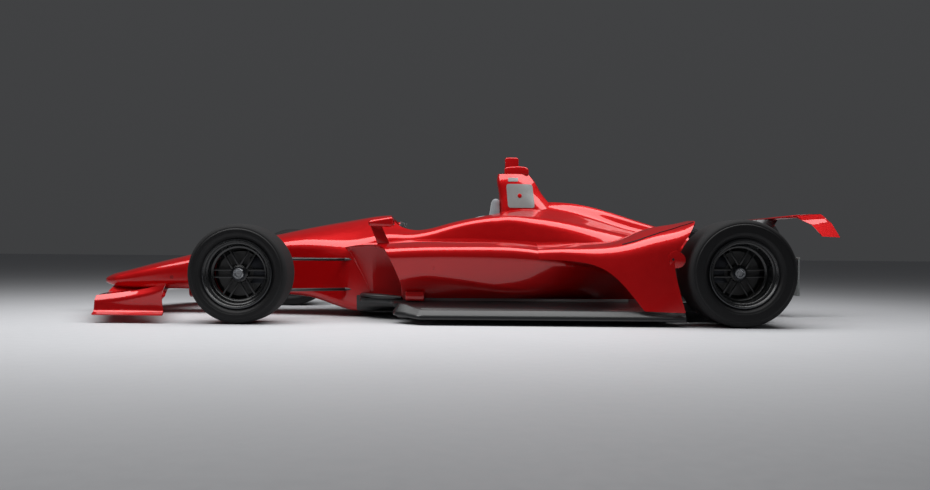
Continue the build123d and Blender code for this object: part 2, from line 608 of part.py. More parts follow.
# ---------------------------------------------------------------- cockpit fittings
COCKPIT_FLOOR = TUB_BOTTOM + TUB_WALL
SEAT_Y = 230.0
SEAT_FRONT, SEAT_BACK = along(0.300), along(0.507)
seat_side = [
    (SEAT_FRONT, COCKPIT_FLOOR), (SEAT_FRONT, COCKPIT_FLOOR + 90), (along(0.395), COCKPIT_FLOOR + 45),
    (along(0.440), COCKPIT_FLOOR + 70), (along(0.498), 560), (SEAT_BACK, 560), (SEAT_BACK, COCKPIT_FLOOR),
]
seat_core = plate(seat_side, -SEAT_Y, SEAT_Y)
bolster_side = [
    (SEAT_FRONT, COCKPIT_FLOOR), (SEAT_FRONT, COCKPIT_FLOOR + 150), (along(0.400), COCKPIT_FLOOR + 170),
    (along(0.478), 520), (SEAT_BACK, 540), (SEAT_BACK, COCKPIT_FLOOR),
]
BOLSTER_T = 45.0
bolster = plate(bolster_side, SEAT_Y - BOLSTER_T, SEAT_Y)
seat = one((seat_core + bolster + other_side(bolster)) & cavity)
save("seat", seat)

# Head surround: a horseshoe that lines the rear of the mouth, and a taller pad in front of the hoop
PAD_FRONT_X, PAD_BOTTOM = along(0.418), 560.0
PAD_REAR_X = along(0.510)
horseshoe_side = [
    (PAD_FRONT_X, PAD_BOTTOM), (PAD_FRONT_X, 640), (along(0.470), 688),
    (PAD_REAR_X, 712), (PAD_REAR_X, PAD_BOTTOM),
]
HEAD_ROOM = [(0.380, 196), (0.468, 196), (0.484, 140)]
head_room = [(along(s), y) for s, y in HEAD_ROOM]
horseshoe = mouth_prism(CLEAR) & plate(horseshoe_side, -BIG, BIG)
horseshoe = one(horseshoe - slab(head_room + [(x, -y) for x, y in reversed(head_room)], 500.0, 900.0, 20.0))
CREST_Y = 92.0
crest_side = [
    (along(0.507) + 4, 690), (along(0.512), 770), (along(0.522), 812), (HOOP_X - 26, 820), (HOOP_X + 60, 690),
]
crest = plate(crest_side, -CREST_Y, CREST_Y, 16.0)
crest = one(crest - tub_outer - hoop_blank - cover_solid)
save("head_surround", horseshoe, crest)

# Steering wheel with its column
steer_plane = Plane(origin=STEER_CENTRE, x_dir=(0, 1, 0), z_dir=-COLUMN_DIR)
HAND_WHEEL_W, HAND_WHEEL_H, HAND_WHEEL_T = 268.0, 150.0, 30.0
COLUMN_L = 330.0
wheel_plate = Box(HAND_WHEEL_W, HAND_WHEEL_H, HAND_WHEEL_T)
wheel_plate = fillet(wheel_plate.edges().filter_by(Axis.Z), 44)
column = bar(tuple(STEER_CENTRE), tuple(STEER_CENTRE + COLUMN_DIR * COLUMN_L), COLUMN_R)
save("steering_wheel", one(steer_plane * wheel_plate + column))

# Mirrors on stalks that stand on the sidepods
MIRROR_Y, MIRROR_W, MIRROR_BOTTOM, MIRROR_H = 560.0, 150.0, 606.0, 70.0
MIRROR_X0, MIRROR_X1 = along(0.245), along(0.298)
STALK_T, STALK_FOOT_Z = 14.0, 440.0
mirror_y = (MIRROR_Y - MIRROR_W / 2, MIRROR_Y + MIRROR_W / 2)
mirror_body = block((MIRROR_X0, MIRROR_X1), mirror_y, (MIRROR_BOTTOM, MIRROR_BOTTOM + MIRROR_H))
front_edges = mirror_body.faces().sort_by(Axis.X)[0].edges()
mirror_body = fillet(mirror_body.edges().filter_by(Axis.X) + front_edges, 20)
stalk_top = [(MIRROR_X0 + 36, MIRROR_BOTTOM + 6), (MIRROR_X0 + 108, MIRROR_BOTTOM + 6)]
stalk_foot = [(MIRROR_X1 - 2, STALK_FOOT_Z), (MIRROR_X1 - 84, STALK_FOOT_Z)]
stalk = plate(stalk_top + stalk_foot, MIRROR_Y - STALK_T / 2, MIRROR_Y + STALK_T / 2)
mirror_piece = one(mirror_body + one(stalk - pod_solid))
save("mirrors", mirror_piece, other_side(mirror_piece))


# ---------------------------------------------------------------- wheels
def at_wheel(shape, x, y, z):
    """Moves a shape made about the +Y axis at the origin to a wheel's centre on the +Y side."""
    return Pos(x, y, z) * shape


def tyre(radius, width, rim_width):
    """Hollow tyre whose beads sit inside the rim's flanges."""
    w, bead, flange = width / 2, SEAT_R + CLEAR, FLANGE_R + 4
    h, t = rim_width / 2 - 11 - CLEAR, TYRE_WALL
    swell = (flange + radius) / 2
    outer = [(h, bead), (h, flange), (w, swell - 22), (w, swell + 22), (w - 22, radius - 8), (w - 64, radius)]
    inner = [(h - t, bead), (h - t, flange + 6), (w - t, swell - 12), (w - t, swell + 16)]
    inner += [(w - t - 18, radius - t)]
    mirrored = [(-y, r) for y, r in outer[::-1]]
    profile = inner[::-1] + outer + mirrored + [(-y, r) for y, r in inner]
    outer_radii, inner_radii = [0, 8, 26, 34, 26, 40], [0, 0, 20, 30, 20]
    return spun(profile, inner_radii[::-1] + outer_radii + outer_radii[::-1] + inner_radii)


def rim(width, face, driven):
    """Barrel, spokes, hub with its nut, and the brake disc; face is the spokes' outer side."""
    h, r = width / 2, SEAT_R
    lip_in = [(-h, FLANGE_R), (-h + 10, FLANGE_R), (-h + 11, r)]
    lip_out = [(h - 11, r), (h - 10, FLANGE_R), (h, FLANGE_R)]
    barrel = spun(lip_in + lip_out + [(h - 4, r - RIM_WALL), (-h + 4, r - RIM_WALL)])
    face_in = face - SPOKE_T
    band = spun([(face_in, SPOKE_RING_R), (face, SPOKE_RING_R), (face + 14, r - 2), (face_in, r - 2)])
    shell = [(-HUB_IN, HUB_R - 10), (0, HUB_R - 10), (4, HUB_R), (face, HUB_R), (face + 8, NUT_R)]
    nut = [(face + 8 + NUT_L, NUT_R - 4), (face + 8 + NUT_L, 0)]
    bore_end = face - SPINDLE_CAP
    bore = [(bore_end, 0), (bore_end, SPINDLE_R + RUNNING), (-HUB_IN, SPINDLE_R + RUNNING)]
    hub = spun(shell + nut + ([(-HUB_IN, 0)] if driven else bore))
    disc = spun([(0, HUB_R - 16), (0, DISC_R), (DISC_T, DISC_R), (DISC_T, HUB_R - 16)])
    whole = barrel + band + hub + disc
    spoke = block((-SPOKE_W / 2, SPOKE_W / 2), (face_in, face), (HUB_R - 12, SPOKE_RING_R + 6))
    step = 360 / SPOKE_PAIRS
    for k in range(SPOKE_PAIRS):
        for side in (-1, 1):
            whole = whole + Rot(0, step * (k + 0.5), 0) * (Pos(side * SPOKE_GAP / 2, 0, 0) * spoke)
    return one(whole)


def caliper(arm_sign):
    """Caliper over the disc's edge, on the side away from the steering arm, with the arm that carries it."""
    gap_in, gap_out, gap_r = -CALIPER_GAP, DISC_T + CALIPER_GAP, DISC_R + CALIPER_GAP
    grip_in, grip_out, grip_r = gap_in - CALIPER_T, gap_out + CALIPER_OUT_T, DISC_R + 30
    body = spun([(grip_in, 84), (grip_in, grip_r), (grip_out, grip_r), (grip_out, 84)])
    body = body - spun([(gap_in, 0), (gap_in, gap_r), (gap_out, gap_r), (gap_out, 0)])
    body = body & block(sorted((arm_sign * 60.0, arm_sign * 200.0)), (-BIG, BIG), (-60, 100))
    root, wall = -KINGPIN_IN + 40, 28
    foot = block(sorted((0, arm_sign * 118)), (root, root + wall), (-30, 34))
    arm = block(sorted((arm_sign * 88, arm_sign * 118)), (root, gap_in - 4), (-30, 34))
    return foot + arm + one(body)


def upright(arm_sign, steered):
    """Knuckle inboard of the wheel: post, two clevises, spindle or bearing, brake backplate and caliper."""
    pin_y = -KINGPIN_IN
    post = block((-34, 34), (pin_y - 24, pin_y + 70), (-LOWER_BALL - 30, UPPER_BALL + 30))
    shape = fillet(post.edges().filter_by(Axis.Y), 14)
    half = EYE_H / 2 + EYE_GAP
    for level in (UPPER_BALL, -LOWER_BALL):
        slot = block((-60, 60), (pin_y - 40, pin_y + EYE_R + EYE_GAP), (level - half, level + half))
        shape = shape - slot + Pos(0, pin_y, level) * Cylinder(PIN_R, 2 * half)
    collar_end = -HUB_IN - 6
    collar = spun([(pin_y - 10, 0), (pin_y - 10, 46), (collar_end, 46), (collar_end, 0)])
    plate_in = collar_end - DUCT_T
    backplate = spun([(plate_in, 0), (plate_in, DUCT_R), (collar_end, DUCT_R), (collar_end, 0)])
    shape = shape + caliper(arm_sign) + collar + backplate
    if steered:
        spindle = spun([(pin_y, 0), (pin_y, SPINDLE_R), (20, SPINDLE_R), (20, 0)])
        arm = block((-ARM_AHEAD - 16, 0), (pin_y - 6, pin_y + 18), (ARM_Z - 34, ARM_Z - 20))
        pin = Cylinder(ROD_PIN_R, 50, align=(Align.CENTER, Align.CENTER, Align.MIN))
        return one(shape + spindle + arm + Pos(-ARM_AHEAD, pin_y, ARM_Z - 34) * pin)
    bearing_r = SPINDLE_R + RUNNING
    return one(shape - spun([(pin_y - 60, 0), (pin_y - 60, bearing_r), (0, bearing_r), (0, 0)]))


FRONT = (FRONT_AXLE_X, FRONT_WHEEL_Y, FRONT_AXLE_Z)
REAR = (REAR_AXLE_X, REAR_WHEEL_Y, REAR_AXLE_Z)
save_sides("front_tyre", at_wheel(tyre(FRONT_TYRE_R, FRONT_TYRE_W, FRONT_RIM_W), *FRONT))
save_sides("front_rim", at_wheel(rim(FRONT_RIM_W, FRONT_FACE, driven=False), *FRONT))
save_sides("front_upright", at_wheel(upright(1, steered=True), *FRONT))
save_sides("rear_tyre", at_wheel(tyre(REAR_TYRE_R, REAR_TYRE_W, REAR_RIM_W), *REAR))
save_sides("rear_rim", at_wheel(rim(REAR_RIM_W, REAR_FACE, driven=True), *REAR))
save_sides("rear_upright", at_wheel(upright(-1, steered=False), *REAR))

# Driveshaft: a joint's housing beside the gearbox, a bar, and the stub that runs in the upright's bearing
JOINT_R, JOINT_L = 44.0, 60.0
SHAFT_START = GEARBOX[2][1] + 6.0 - REAR_WHEEL_Y
STUB_START = -KINGPIN_IN - 60.0
shaft_in = [(SHAFT_START, 0), (SHAFT_START, JOINT_R), (SHAFT_START + JOINT_L, JOINT_R)]
shaft_bar = [(SHAFT_START + JOINT_L + 12, DRIVESHAFT_R), (STUB_START, DRIVESHAFT_R)]
shaft_out = [(STUB_START + 10, SPINDLE_R), (-HUB_IN, SPINDLE_R), (-HUB_IN, 0)]
save_sides("driveshaft", at_wheel(spun(shaft_in + shaft_bar + shaft_out), *REAR))

# ---------------------------------------------------------------- suspension
KINGPIN_Y = FRONT_WHEEL_Y - KINGPIN_IN
REAR_PIN_Y = REAR_WHEEL_Y - KINGPIN_IN


def wishbone(pin, front_foot, rear_foot, carrier):
    """Two legs that meet at an eye on the pin's axis and end on the carrier's surface."""
    x, y, z = pin
    eye = Pos(x, y, z) * (Cylinder(EYE_R, EYE_H) - Cylinder(PIN_R + RUNNING, EYE_H + 2))
    legs = bar((x, y, z), front_foot, LEG_R) + bar((x, y, z), rear_foot, LEG_R)
    core = Pos(x, y, z) * Cylinder(PIN_R + RUNNING, EYE_H + 40)
    return one(eye + legs - core - carrier)


FRONT_FOOT_X, REAR_FOOT_X = BULKHEAD_X + 30.0, along(POD_START)
front_top_pin = (FRONT_AXLE_X, KINGPIN_Y, FRONT_AXLE_Z + UPPER_BALL)
front_low_pin = (FRONT_AXLE_X, KINGPIN_Y, FRONT_AXLE_Z - LOWER_BALL)
front_upper = wishbone(front_top_pin, (FRONT_FOOT_X, 150, 392), (REAR_FOOT_X - 6, 300, 389), tub_outer)
front_lower = wishbone(front_low_pin, (FRONT_FOOT_X, 150, 206), (REAR_FOOT_X + 4, 300, 187), tub_outer)
save("front_upper_wishbones", front_upper, other_side(front_upper))
save("front_lower_wishbones", front_lower, other_side(front_lower))

PUSHROD_IN = 60.0  # pushrod's foot inboard of the kingpin
front_rod_foot = (FRONT_AXLE_X + 22, KINGPIN_Y - PUSHROD_IN, FRONT_AXLE_Z - LOWER_BALL + 6)
front_pushrod = bar(front_rod_foot, (FRONT_AXLE_X + 60, 130, 500), LEG_R)
front_pushrod = one(front_pushrod - tub_outer - front_lower - front_upper)
save("front_pushrods", front_pushrod, other_side(front_pushrod))

rear_top_pin = (REAR_AXLE_X, REAR_PIN_Y, REAR_AXLE_Z + UPPER_BALL)
rear_low_pin = (REAR_AXLE_X, REAR_PIN_Y, REAR_AXLE_Z - LOWER_BALL)
LEG_SPREAD = 330.0  # front legs' feet ahead of the rear axle
FRONT_LEG_X = REAR_AXLE_X - LEG_SPREAD
rear_upper = wishbone(rear_top_pin, (FRONT_LEG_X, 60, 400), (REAR_AXLE_X + 200, 40, 396), gearbox)
rear_lower = wishbone(rear_low_pin, (FRONT_LEG_X, 60, 236), (REAR_AXLE_X + 160, 40, 262), gearbox)
save("rear_upper_wishbones", rear_upper, other_side(rear_upper))
save("rear_lower_wishbones", rear_lower, other_side(rear_lower))

rear_rod_foot = (REAR_AXLE_X + 30, REAR_PIN_Y - PUSHROD_IN, REAR_AXLE_Z - LOWER_BALL + 10)
rear_pushrod = bar(rear_rod_foot, (REAR_AXLE_X + 90, 60, 470), LEG_R)
rear_pushrod = one(rear_pushrod - gearbox - rear_lower - rear_upper)
save("rear_pushrods", rear_pushrod, other_side(rear_pushrod))

# Track rods: one bar through the tub, with an eye over each steering arm's pin
ROD_END = KINGPIN_Y - ROD_EYE_R + 3
rack = bar((ROD_X, -ROD_END, ROD_Z), (ROD_X, ROD_END, ROD_Z), ROD_R)
rod_eye = Cylinder(ROD_EYE_R, ROD_EYE_H) - Cylinder(ROD_EYE_BORE, ROD_EYE_H + 2)
for side in (-1, 1):
    rack = rack + Pos(ROD_X, side * KINGPIN_Y, ROD_Z) * rod_eye
save("track_rods", one(rack))
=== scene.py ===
# %% [markdown]
# # Open wheel racing car
# A single seat racing car in low-drag oval trim: long nose, open cockpit, sidepods that sweep up into
# guards ahead of the rear wheels, small wings, fat bare tyres. The construction comes from a CAD model
# whose bodies move; this script gives it its smooth painted skins, its tyres and rims, its small parts and
# its finishes.
#
# Lengths in tables are millimetres, because that is how such a car is drawn. X points backwards, Y to the
# car's right and Z up. "Behind the axle" always means behind the front axle's centre.

# %% Load the frame
import json
import math

import bpy
import numpy as np
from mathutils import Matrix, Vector

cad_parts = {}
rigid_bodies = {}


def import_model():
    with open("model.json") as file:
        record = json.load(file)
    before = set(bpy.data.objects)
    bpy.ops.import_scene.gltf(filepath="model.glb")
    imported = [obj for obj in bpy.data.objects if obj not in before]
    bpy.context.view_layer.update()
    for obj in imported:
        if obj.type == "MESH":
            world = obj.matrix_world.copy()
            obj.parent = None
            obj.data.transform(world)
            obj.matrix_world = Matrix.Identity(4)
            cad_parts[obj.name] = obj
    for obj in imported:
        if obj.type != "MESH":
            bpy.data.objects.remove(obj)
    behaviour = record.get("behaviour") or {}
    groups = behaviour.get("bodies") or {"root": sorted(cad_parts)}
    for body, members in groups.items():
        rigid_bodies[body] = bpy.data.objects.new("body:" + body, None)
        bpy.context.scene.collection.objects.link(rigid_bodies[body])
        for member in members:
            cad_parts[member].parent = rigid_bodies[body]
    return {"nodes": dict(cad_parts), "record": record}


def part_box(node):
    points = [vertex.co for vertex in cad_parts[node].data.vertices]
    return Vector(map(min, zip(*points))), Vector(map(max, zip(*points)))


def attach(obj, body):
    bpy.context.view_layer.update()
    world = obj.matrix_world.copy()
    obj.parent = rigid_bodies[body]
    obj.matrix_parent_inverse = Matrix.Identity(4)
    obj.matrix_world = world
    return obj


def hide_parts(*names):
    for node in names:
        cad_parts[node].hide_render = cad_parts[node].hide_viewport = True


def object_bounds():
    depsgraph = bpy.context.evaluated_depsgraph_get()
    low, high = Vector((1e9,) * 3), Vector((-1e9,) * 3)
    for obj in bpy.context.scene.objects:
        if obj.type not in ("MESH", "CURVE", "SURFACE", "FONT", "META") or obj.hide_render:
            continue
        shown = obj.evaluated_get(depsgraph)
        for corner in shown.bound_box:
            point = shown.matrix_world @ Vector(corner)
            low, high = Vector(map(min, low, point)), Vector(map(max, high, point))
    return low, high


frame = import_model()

CAD_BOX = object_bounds()
MM = 0.001
NODES = frame["nodes"]

# %% [markdown]
# ## Measures from the frame
# A skin has to land on the CAD pieces that carry it, so its places are worked out from the frame, not typed
# again.

# %% Axles and centre lines


def centre(node):
    low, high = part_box(node)
    return (low + high) / 2


FRONT_AXLE = centre("front_rim_right") / MM
REAR_AXLE = centre("rear_rim_right") / MM
WHEELBASE = REAR_AXLE.x - FRONT_AXLE.x
NOSE_X, TAIL_X = CAD_BOX[0].x / MM, CAD_BOX[1].x / MM
print("wheelbase", round(WHEELBASE), "mm; nose at", round(NOSE_X), "tail at", round(TAIL_X))


def behind(distance):
    """X of a place that many millimetres behind the front axle."""
    return FRONT_AXLE.x + distance


def placed(table):
    """A table whose first column, behind the front axle, has become X."""
    return [(behind(row[0]), *row[1:]) for row in table]


# %% [markdown]
# ## Helpers for modelling by hand
# Every piece starts as a primitive, is shaped in edit mode and is finished by modifiers that are applied.
# These few functions keep each step to one line. An operator acts on all that is selected, so everything is
# deselected first.

# %% Selecting and applying


def use(obj):
    """Deselects everything and makes obj the active object."""
    if bpy.context.object and bpy.context.object.mode != "OBJECT":
        bpy.ops.object.mode_set(mode="OBJECT")
    bpy.ops.object.select_all(action="DESELECT")
    obj.select_set(True)
    bpy.context.view_layer.objects.active = obj
    return obj


def start():
    """Leaves nothing selected, so that the next primitive is alone."""
    if bpy.context.object and bpy.context.object.mode != "OBJECT":
        bpy.ops.object.mode_set(mode="OBJECT")
    bpy.ops.object.select_all(action="DESELECT")


def named(name):
    """Names the object that an add operator has just made."""
    obj = bpy.context.object
    obj.name = obj.data.name = name
    return obj


def modify(obj, kind, **settings):
    """Adds a modifier, sets it and applies it."""
    use(obj)
    modifier = obj.modifiers.new(kind, kind)
    for key, value in settings.items():
        setattr(modifier, key, value)
    bpy.ops.object.modifier_apply(modifier=modifier.name)
    return obj


# %% [markdown]
# An edit mode operator acts on what is selected. So a step either selects the whole mesh, or picks vertices
# by their place, as a modeller does with box select.

# %% Editing


def edit(obj, *steps):
    """Runs edit mode operators on the whole mesh: each step is (operator, settings)."""
    use(obj)
    bpy.ops.object.mode_set(mode="EDIT")
    bpy.ops.mesh.select_all(action="SELECT")
    for operator, settings in steps:
        operator(**settings)
    bpy.ops.object.mode_set(mode="OBJECT")
    return obj


def pick(obj, test):
    """Selects the vertices whose place, in millimetres, passes a test, and leaves edit mode on."""
    use(obj)
    bpy.ops.object.mode_set(mode="EDIT")
    bpy.ops.mesh.select_mode(type="VERT")
    bpy.ops.mesh.select_all(action="DESELECT")
    bpy.ops.object.mode_set(mode="OBJECT")
    for vertex in obj.data.vertices:
        vertex.select = test(vertex.co / MM)
    bpy.ops.object.mode_set(mode="EDIT")
    return obj


def shape(obj, *steps):
    """Runs edit mode operators on what is selected and goes back to object mode."""
    for operator, settings in steps:
        operator(**settings)
    bpy.ops.object.mode_set(mode="OBJECT")
    return obj


def settle(obj):
    """Writes the object's place, turn and scale into its mesh."""
    use(obj)
    bpy.ops.object.transform_apply(location=True, rotation=True, scale=True)
    return obj


# %% [markdown]
# A finished mesh is closed, its faces point outwards and its edges are a little round. Most of a car comes
# in pairs, so one helper makes the piece of the other side.

# %% Closing, rounding and copying


def closed(obj, merge=0.0002):
    """Merges doubles, fills open ends and turns every face outwards."""
    return edit(
        obj,
        (bpy.ops.mesh.remove_doubles, {"threshold": merge}),
        (bpy.ops.mesh.fill_holes, {"sides": 0}),
        (bpy.ops.mesh.normals_make_consistent, {"inside": False}),
    )


def outward(obj):
    """Turns every face outwards."""
    return edit(obj, (bpy.ops.mesh.normals_make_consistent, {"inside": False}))


def rounded(obj, width, segments=2, angle=50):
    """Rounds the edges that turn by more than an angle; the width is in millimetres."""
    limit = {"limit_method": "ANGLE", "angle_limit": math.radians(angle)}
    return modify(obj, "BEVEL", width=width * MM, segments=segments, **limit)


def smooth(obj, angle=32):
    """Shades a piece smooth, apart from the edges that turn by more than an angle."""
    use(obj)
    bpy.ops.object.shade_smooth_by_angle(angle=math.radians(angle))
    return obj


def cut(obj, tool, operation="DIFFERENCE"):
    """Boolean with another piece, which is used up."""
    modify(obj, "BOOLEAN", object=tool, operation=operation, solver="EXACT")
    bpy.data.objects.remove(tool)
    return obj


def twin_of(obj):
    """A copy with its own mesh, in the same place."""
    twin = obj.copy()
    twin.data = obj.data.copy()
    bpy.context.scene.collection.objects.link(twin)
    return twin


def other_side(obj, name):
    """A copy of a piece mirrored to the car's other side."""
    twin = twin_of(obj)
    twin.name = twin.data.name = name
    twin.scale.y = -1
    settle(twin)
    return edit(twin, (bpy.ops.mesh.flip_normals, {}))


# %% [markdown]
# ## Skins
# A body panel is a smooth surface through a few drawn sections. Each section is a short polygon whose
# corners are softened, and each of its points runs along the car on a cubic spline, so that the light on
# the paint flows without a kink. The mesh itself is a plain grid primitive: its rows are laid on the
# sections one after the other, the way a modeller would drag rings of vertices into place.

# %% Splines and soft corners


def spline(knots, values, x):
    """Natural cubic spline through the values, at the places x."""
    knots, values = np.array(knots, float), np.array(values, float)
    n = len(knots)
    if n == 2:
        return values[0] + (x - knots[0])[:, None] / (knots[1] - knots[0]) * (values[1] - values[0])
    gap = np.diff(knots)
    matrix, right = np.eye(n), np.zeros_like(values)
    slope = np.diff(values, axis=0) / gap[:, None]
    for i in range(1, n - 1):
        matrix[i, i - 1:i + 2] = gap[i - 1], 2 * (gap[i - 1] + gap[i]), gap[i]
        right[i] = 6 * (slope[i] - slope[i - 1])
    bend = np.linalg.solve(matrix, right)
    i = np.clip(np.searchsorted(knots, x) - 1, 0, n - 2)
    a, b, h = (knots[i + 1] - x)[:, None], (x - knots[i])[:, None], gap[i][:, None]
    curve = (bend[i] * a ** 3 + bend[i + 1] * b ** 3) / (6 * h)
    straight = (values[i] / h - bend[i] * h / 6) * a + (values[i + 1] / h - bend[i + 1] * h / 6) * b
    return curve + straight


def softened(points, reaches, steps=7, between=3):
    """A polyline whose inner corners are soft curves, each of which starts its reach before the corner."""
    points = [np.array(p, float) for p in points]
    line = [points[0]]
    for i in range(1, len(points) - 1):
        before, here, after = points[i - 1], points[i], points[i + 1]
        u, v = before - here, after - here
        lu, lv = np.linalg.norm(u), np.linalg.norm(v)
        reach = min(reaches[i - 1], 0.48 * lu, 0.48 * lv)
        a, b = here + u / lu * reach, here + v / lv * reach
        last = line[-1]
        line += [last + (a - last) * k / between for k in range(1, between)]
        for k in range(steps + 1):
            t = k / steps
            line.append((1 - t) ** 2 * a + 2 * t * (1 - t) * here + t * t * b)
    last = line[-1]
    line += [last + (points[-1] - last) * k / between for k in range(1, between + 1)]
    return line


def soft_ring(outline, corner, steps=4):
    """A closed outline with every corner softened by the same reach."""
    ring = softened([outline[-1]] + outline + [outline[0]], [corner] * len(outline), steps, 2)
    return [tuple(point) for point in ring[2:-2]]


# %% Grids and filled outlines


def grid(name, rows):
    """A grid primitive whose vertices are laid on rows of points, in millimetres."""
    start()
    across, down = len(rows[0]), len(rows)
    bpy.ops.mesh.primitive_grid_add(x_subdivisions=across - 1, y_subdivisions=down - 1, size=1)
    obj = named(name)
    obj.data.vertices.foreach_set("co", np.array(rows, float).reshape(-1) * MM)
    obj.data.update()
    return obj


def extruded(name, corners, push):
    """A filled outline of (x, y, z) corners, pushed out by (x, y, z); both in millimetres."""
    start()
    bpy.ops.mesh.primitive_circle_add(vertices=len(corners), radius=1, fill_type="NGON")
    obj = named(name)
    obj.data.vertices.foreach_set("co", np.array(corners, float).reshape(-1) * MM)
    move = {"TRANSFORM_OT_translate": {"value": tuple(step * MM for step in push)}}
    return outward(edit(obj, (bpy.ops.mesh.extrude_region_move, move)))


def prism(name, outline, level, height):
    """An upright prism over a plan outline of (x, y) points."""
    return extruded(name, [(x, y, level) for x, y in outline], (0, 0, height))


def side_plate(name, outline, y_low, y_high):
    """A plate over a side view outline of (x, z) points, between two distances from the centre line."""
    return extruded(name, [(x, y_low, z) for x, z in outline], (0, y_high - y_low, 0))


def stations(table, reaches, first, last, count, steps=7):
    """Rows of softened sections between two places. A table row is (x, y, z, y, z, ...)."""
    x = np.linspace(first, last, count)
    data = np.array(table, float)
    rows = []
    for place, section in zip(x, spline(data[:, 0], data[:, 1:], x)):
        line = softened(section.reshape(-1, 2), reaches, steps)
        rows.append([(place, y, z) for y, z in line])
    return rows


def mirrored(obj):
    """The half with +Y gets its twin, welded along the centre line."""
    return modify(obj, "MIRROR", use_axis=(False, True, False), use_clip=True, merge_threshold=0.0005)


# %% [markdown]
# ## Finishes: helpers
# Colours are written as the hex values a designer would pick, and one function turns them to linear light.
# One small function adds a node with its settings and its links. A pattern's size is given in millimetres:
# the real one, or a coarser one where the real one would not show.

# %% Colours and nodes


def linear(hex_colour):
    """sRGB hex to linear RGBA."""
    parts = [int(hex_colour[i:i + 2], 16) / 255 for i in (1, 3, 5)]
    return [c / 12.92 if c <= 0.04045 else ((c + 0.055) / 1.055) ** 2.4 for c in parts] + [1.0]


def node(tree, kind, links=(), **settings):
    """Adds a node, given as "Type.Output", and returns that output. A link is a value or a socket."""
    kind, output = kind.split(".")
    made = tree.nodes.new("ShaderNode" + kind)
    for key, value in settings.items():
        setattr(made, key, value)
    for key, value in dict(links).items():
        if isinstance(value, bpy.types.NodeSocket):
            tree.links.new(value, made.inputs[key])
        else:
            made.inputs[key].default_value = value
    return made.outputs[output]


def finish(name, colour, roughness=0.5, metallic=0.0, **sockets):
    """A Principled material with its plain values on the shader's own sockets, and its object coordinates."""
    material = bpy.data.materials.new(name)
    material.use_nodes = True
    tree = material.node_tree
    values = {"Base_Color": linear(colour), "Roughness": roughness, "Metallic": metallic, **sockets}
    for key, value in values.items():
        tree.nodes["Principled BSDF"].inputs[key.replace("_", " ")].default_value = value
    return material, tree, node(tree, "TexCoord.Object")


def cells(size):
    """Scale of a noise whose patches are about so many millimetres wide."""
    return 1000 / size


def bands(pitch):
    """Scale of a wave whose stripes or rings repeat every so many millimetres."""
    return 100 * math.pi / pitch


def feed(tree, colour=None, roughness=None, height=None, strength=0.1, relief=0.4):
    """Links what a pattern drives: colour, roughness and, as a relief in millimetres, the bump."""
    if height:
        bump = node(tree, "Bump.Normal", {"Height": height, "Strength": strength, "Distance": relief * MM})
    for socket, source in (("Base Color", colour), ("Roughness", roughness), ("Normal", height and bump)):
        if source:
            tree.links.new(source, tree.nodes["Principled BSDF"].inputs[socket])


# %% [markdown]
# ### Two-stage gloss paint
# Sprayed racing enamel: a red base coat with fine metal flake under clear lacquer. The flake throws a soft
# glow that keeps the paint's own red, the lacquer adds a sharp white reflection, and close up it shows the
# faint unevenness called orange peel. So the base is half metallic and rough, and the coat is smooth.
# Sprayed depth wanders a little and a film of road dust dulls the base in patches, so both are drawn. Real
# orange peel is 1 to 3 mm wide.

# %% Red enamel
PEEL_MM, DUST_MM, DEPTH_MM = 3.0, 40.0, 600.0
FLAKE = 0.45


def gloss_enamel():
    layers = {"Coat_Weight": 1.0, "Coat_Roughness": 0.02, "Specular_IOR_Level": 0.12}
    material, tree, place = finish("gloss_red_enamel", "#B80409", 0.38, FLAKE, **layers)
    depth = node(tree, "TexNoise.Fac", {"Vector": place, "Scale": cells(DEPTH_MM), "Detail": 1.0})
    tones = {"Factor": depth, "A": linear("#C0050A"), "B": linear("#AE0307")}
    paint = node(tree, "Mix.Result", tones, data_type="RGBA")
    dust = node(tree, "TexNoise.Fac", {"Vector": place, "Scale": cells(DUST_MM), "Detail": 4.0})
    film = {"Value": dust, "From Min": 0.4, "From Max": 0.8, "To Min": 0.36, "To Max": 0.46}
    dull = node(tree, "MapRange.Result", film)
    peel = node(tree, "TexNoise.Fac", {"Vector": place, "Scale": cells(PEEL_MM), "Detail": 1.0})
    feed(tree, paint, dull, peel, 0.03, 0.3)
    return material


RED = gloss_enamel()
print("made", RED.name)

# %% [markdown]
# ### Carbon laminate
# Floor, arms and wing mounts are bare carbon fibre in epoxy: black, with a diagonal rib where the two by
# two twill turns over, and a thin resin gloss. A woven image would need mapping on every piece. Waves on
# object coordinates give the same diagonal rib from any side. The real rib is 3 mm wide. It is drawn at 9
# mm, or it would vanish.

# %% Carbon laminate
TWILL_MM = 9.0


def carbon_laminate(name, dark, light, gloss):
    material, tree, place = finish(name, dark, 0.4, Coat_Weight=gloss, Coat_Roughness=0.15)
    ribs = {"Vector": place, "Scale": 2 * bands(TWILL_MM * 1.41)}
    rib = node(tree, "TexWave.Fac", ribs, bands_direction="DIAGONAL")
    tow = node(tree, "TexWave.Fac", {"Vector": place, "Scale": bands(TWILL_MM / 2)}, bands_direction="X")
    weave = node(tree, "Math.Value", {0: rib, 1: tow}, operation="MULTIPLY")
    tones = {"Factor": weave, "A": linear(dark), "B": linear(light)}
    fibre = node(tree, "Mix.Result", tones, data_type="RGBA")
    sheen = node(tree, "MapRange.Result", {"Value": weave, "To Min": 0.46, "To Max": 0.32})
    feed(tree, fibre, sheen, rib, 0.08, 0.3)
    return material


CARBON = carbon_laminate("satin_carbon_laminate", "#0B0C0D", "#1F2124", 0.5)
SEAT_SHELL = carbon_laminate("matt_seat_laminate", "#131415", "#2B2C2E", 0.0)
EDGE_STRIP = carbon_laminate("glossy_edge_laminate", "#1E1F20", "#2A2B2D", 0.1)

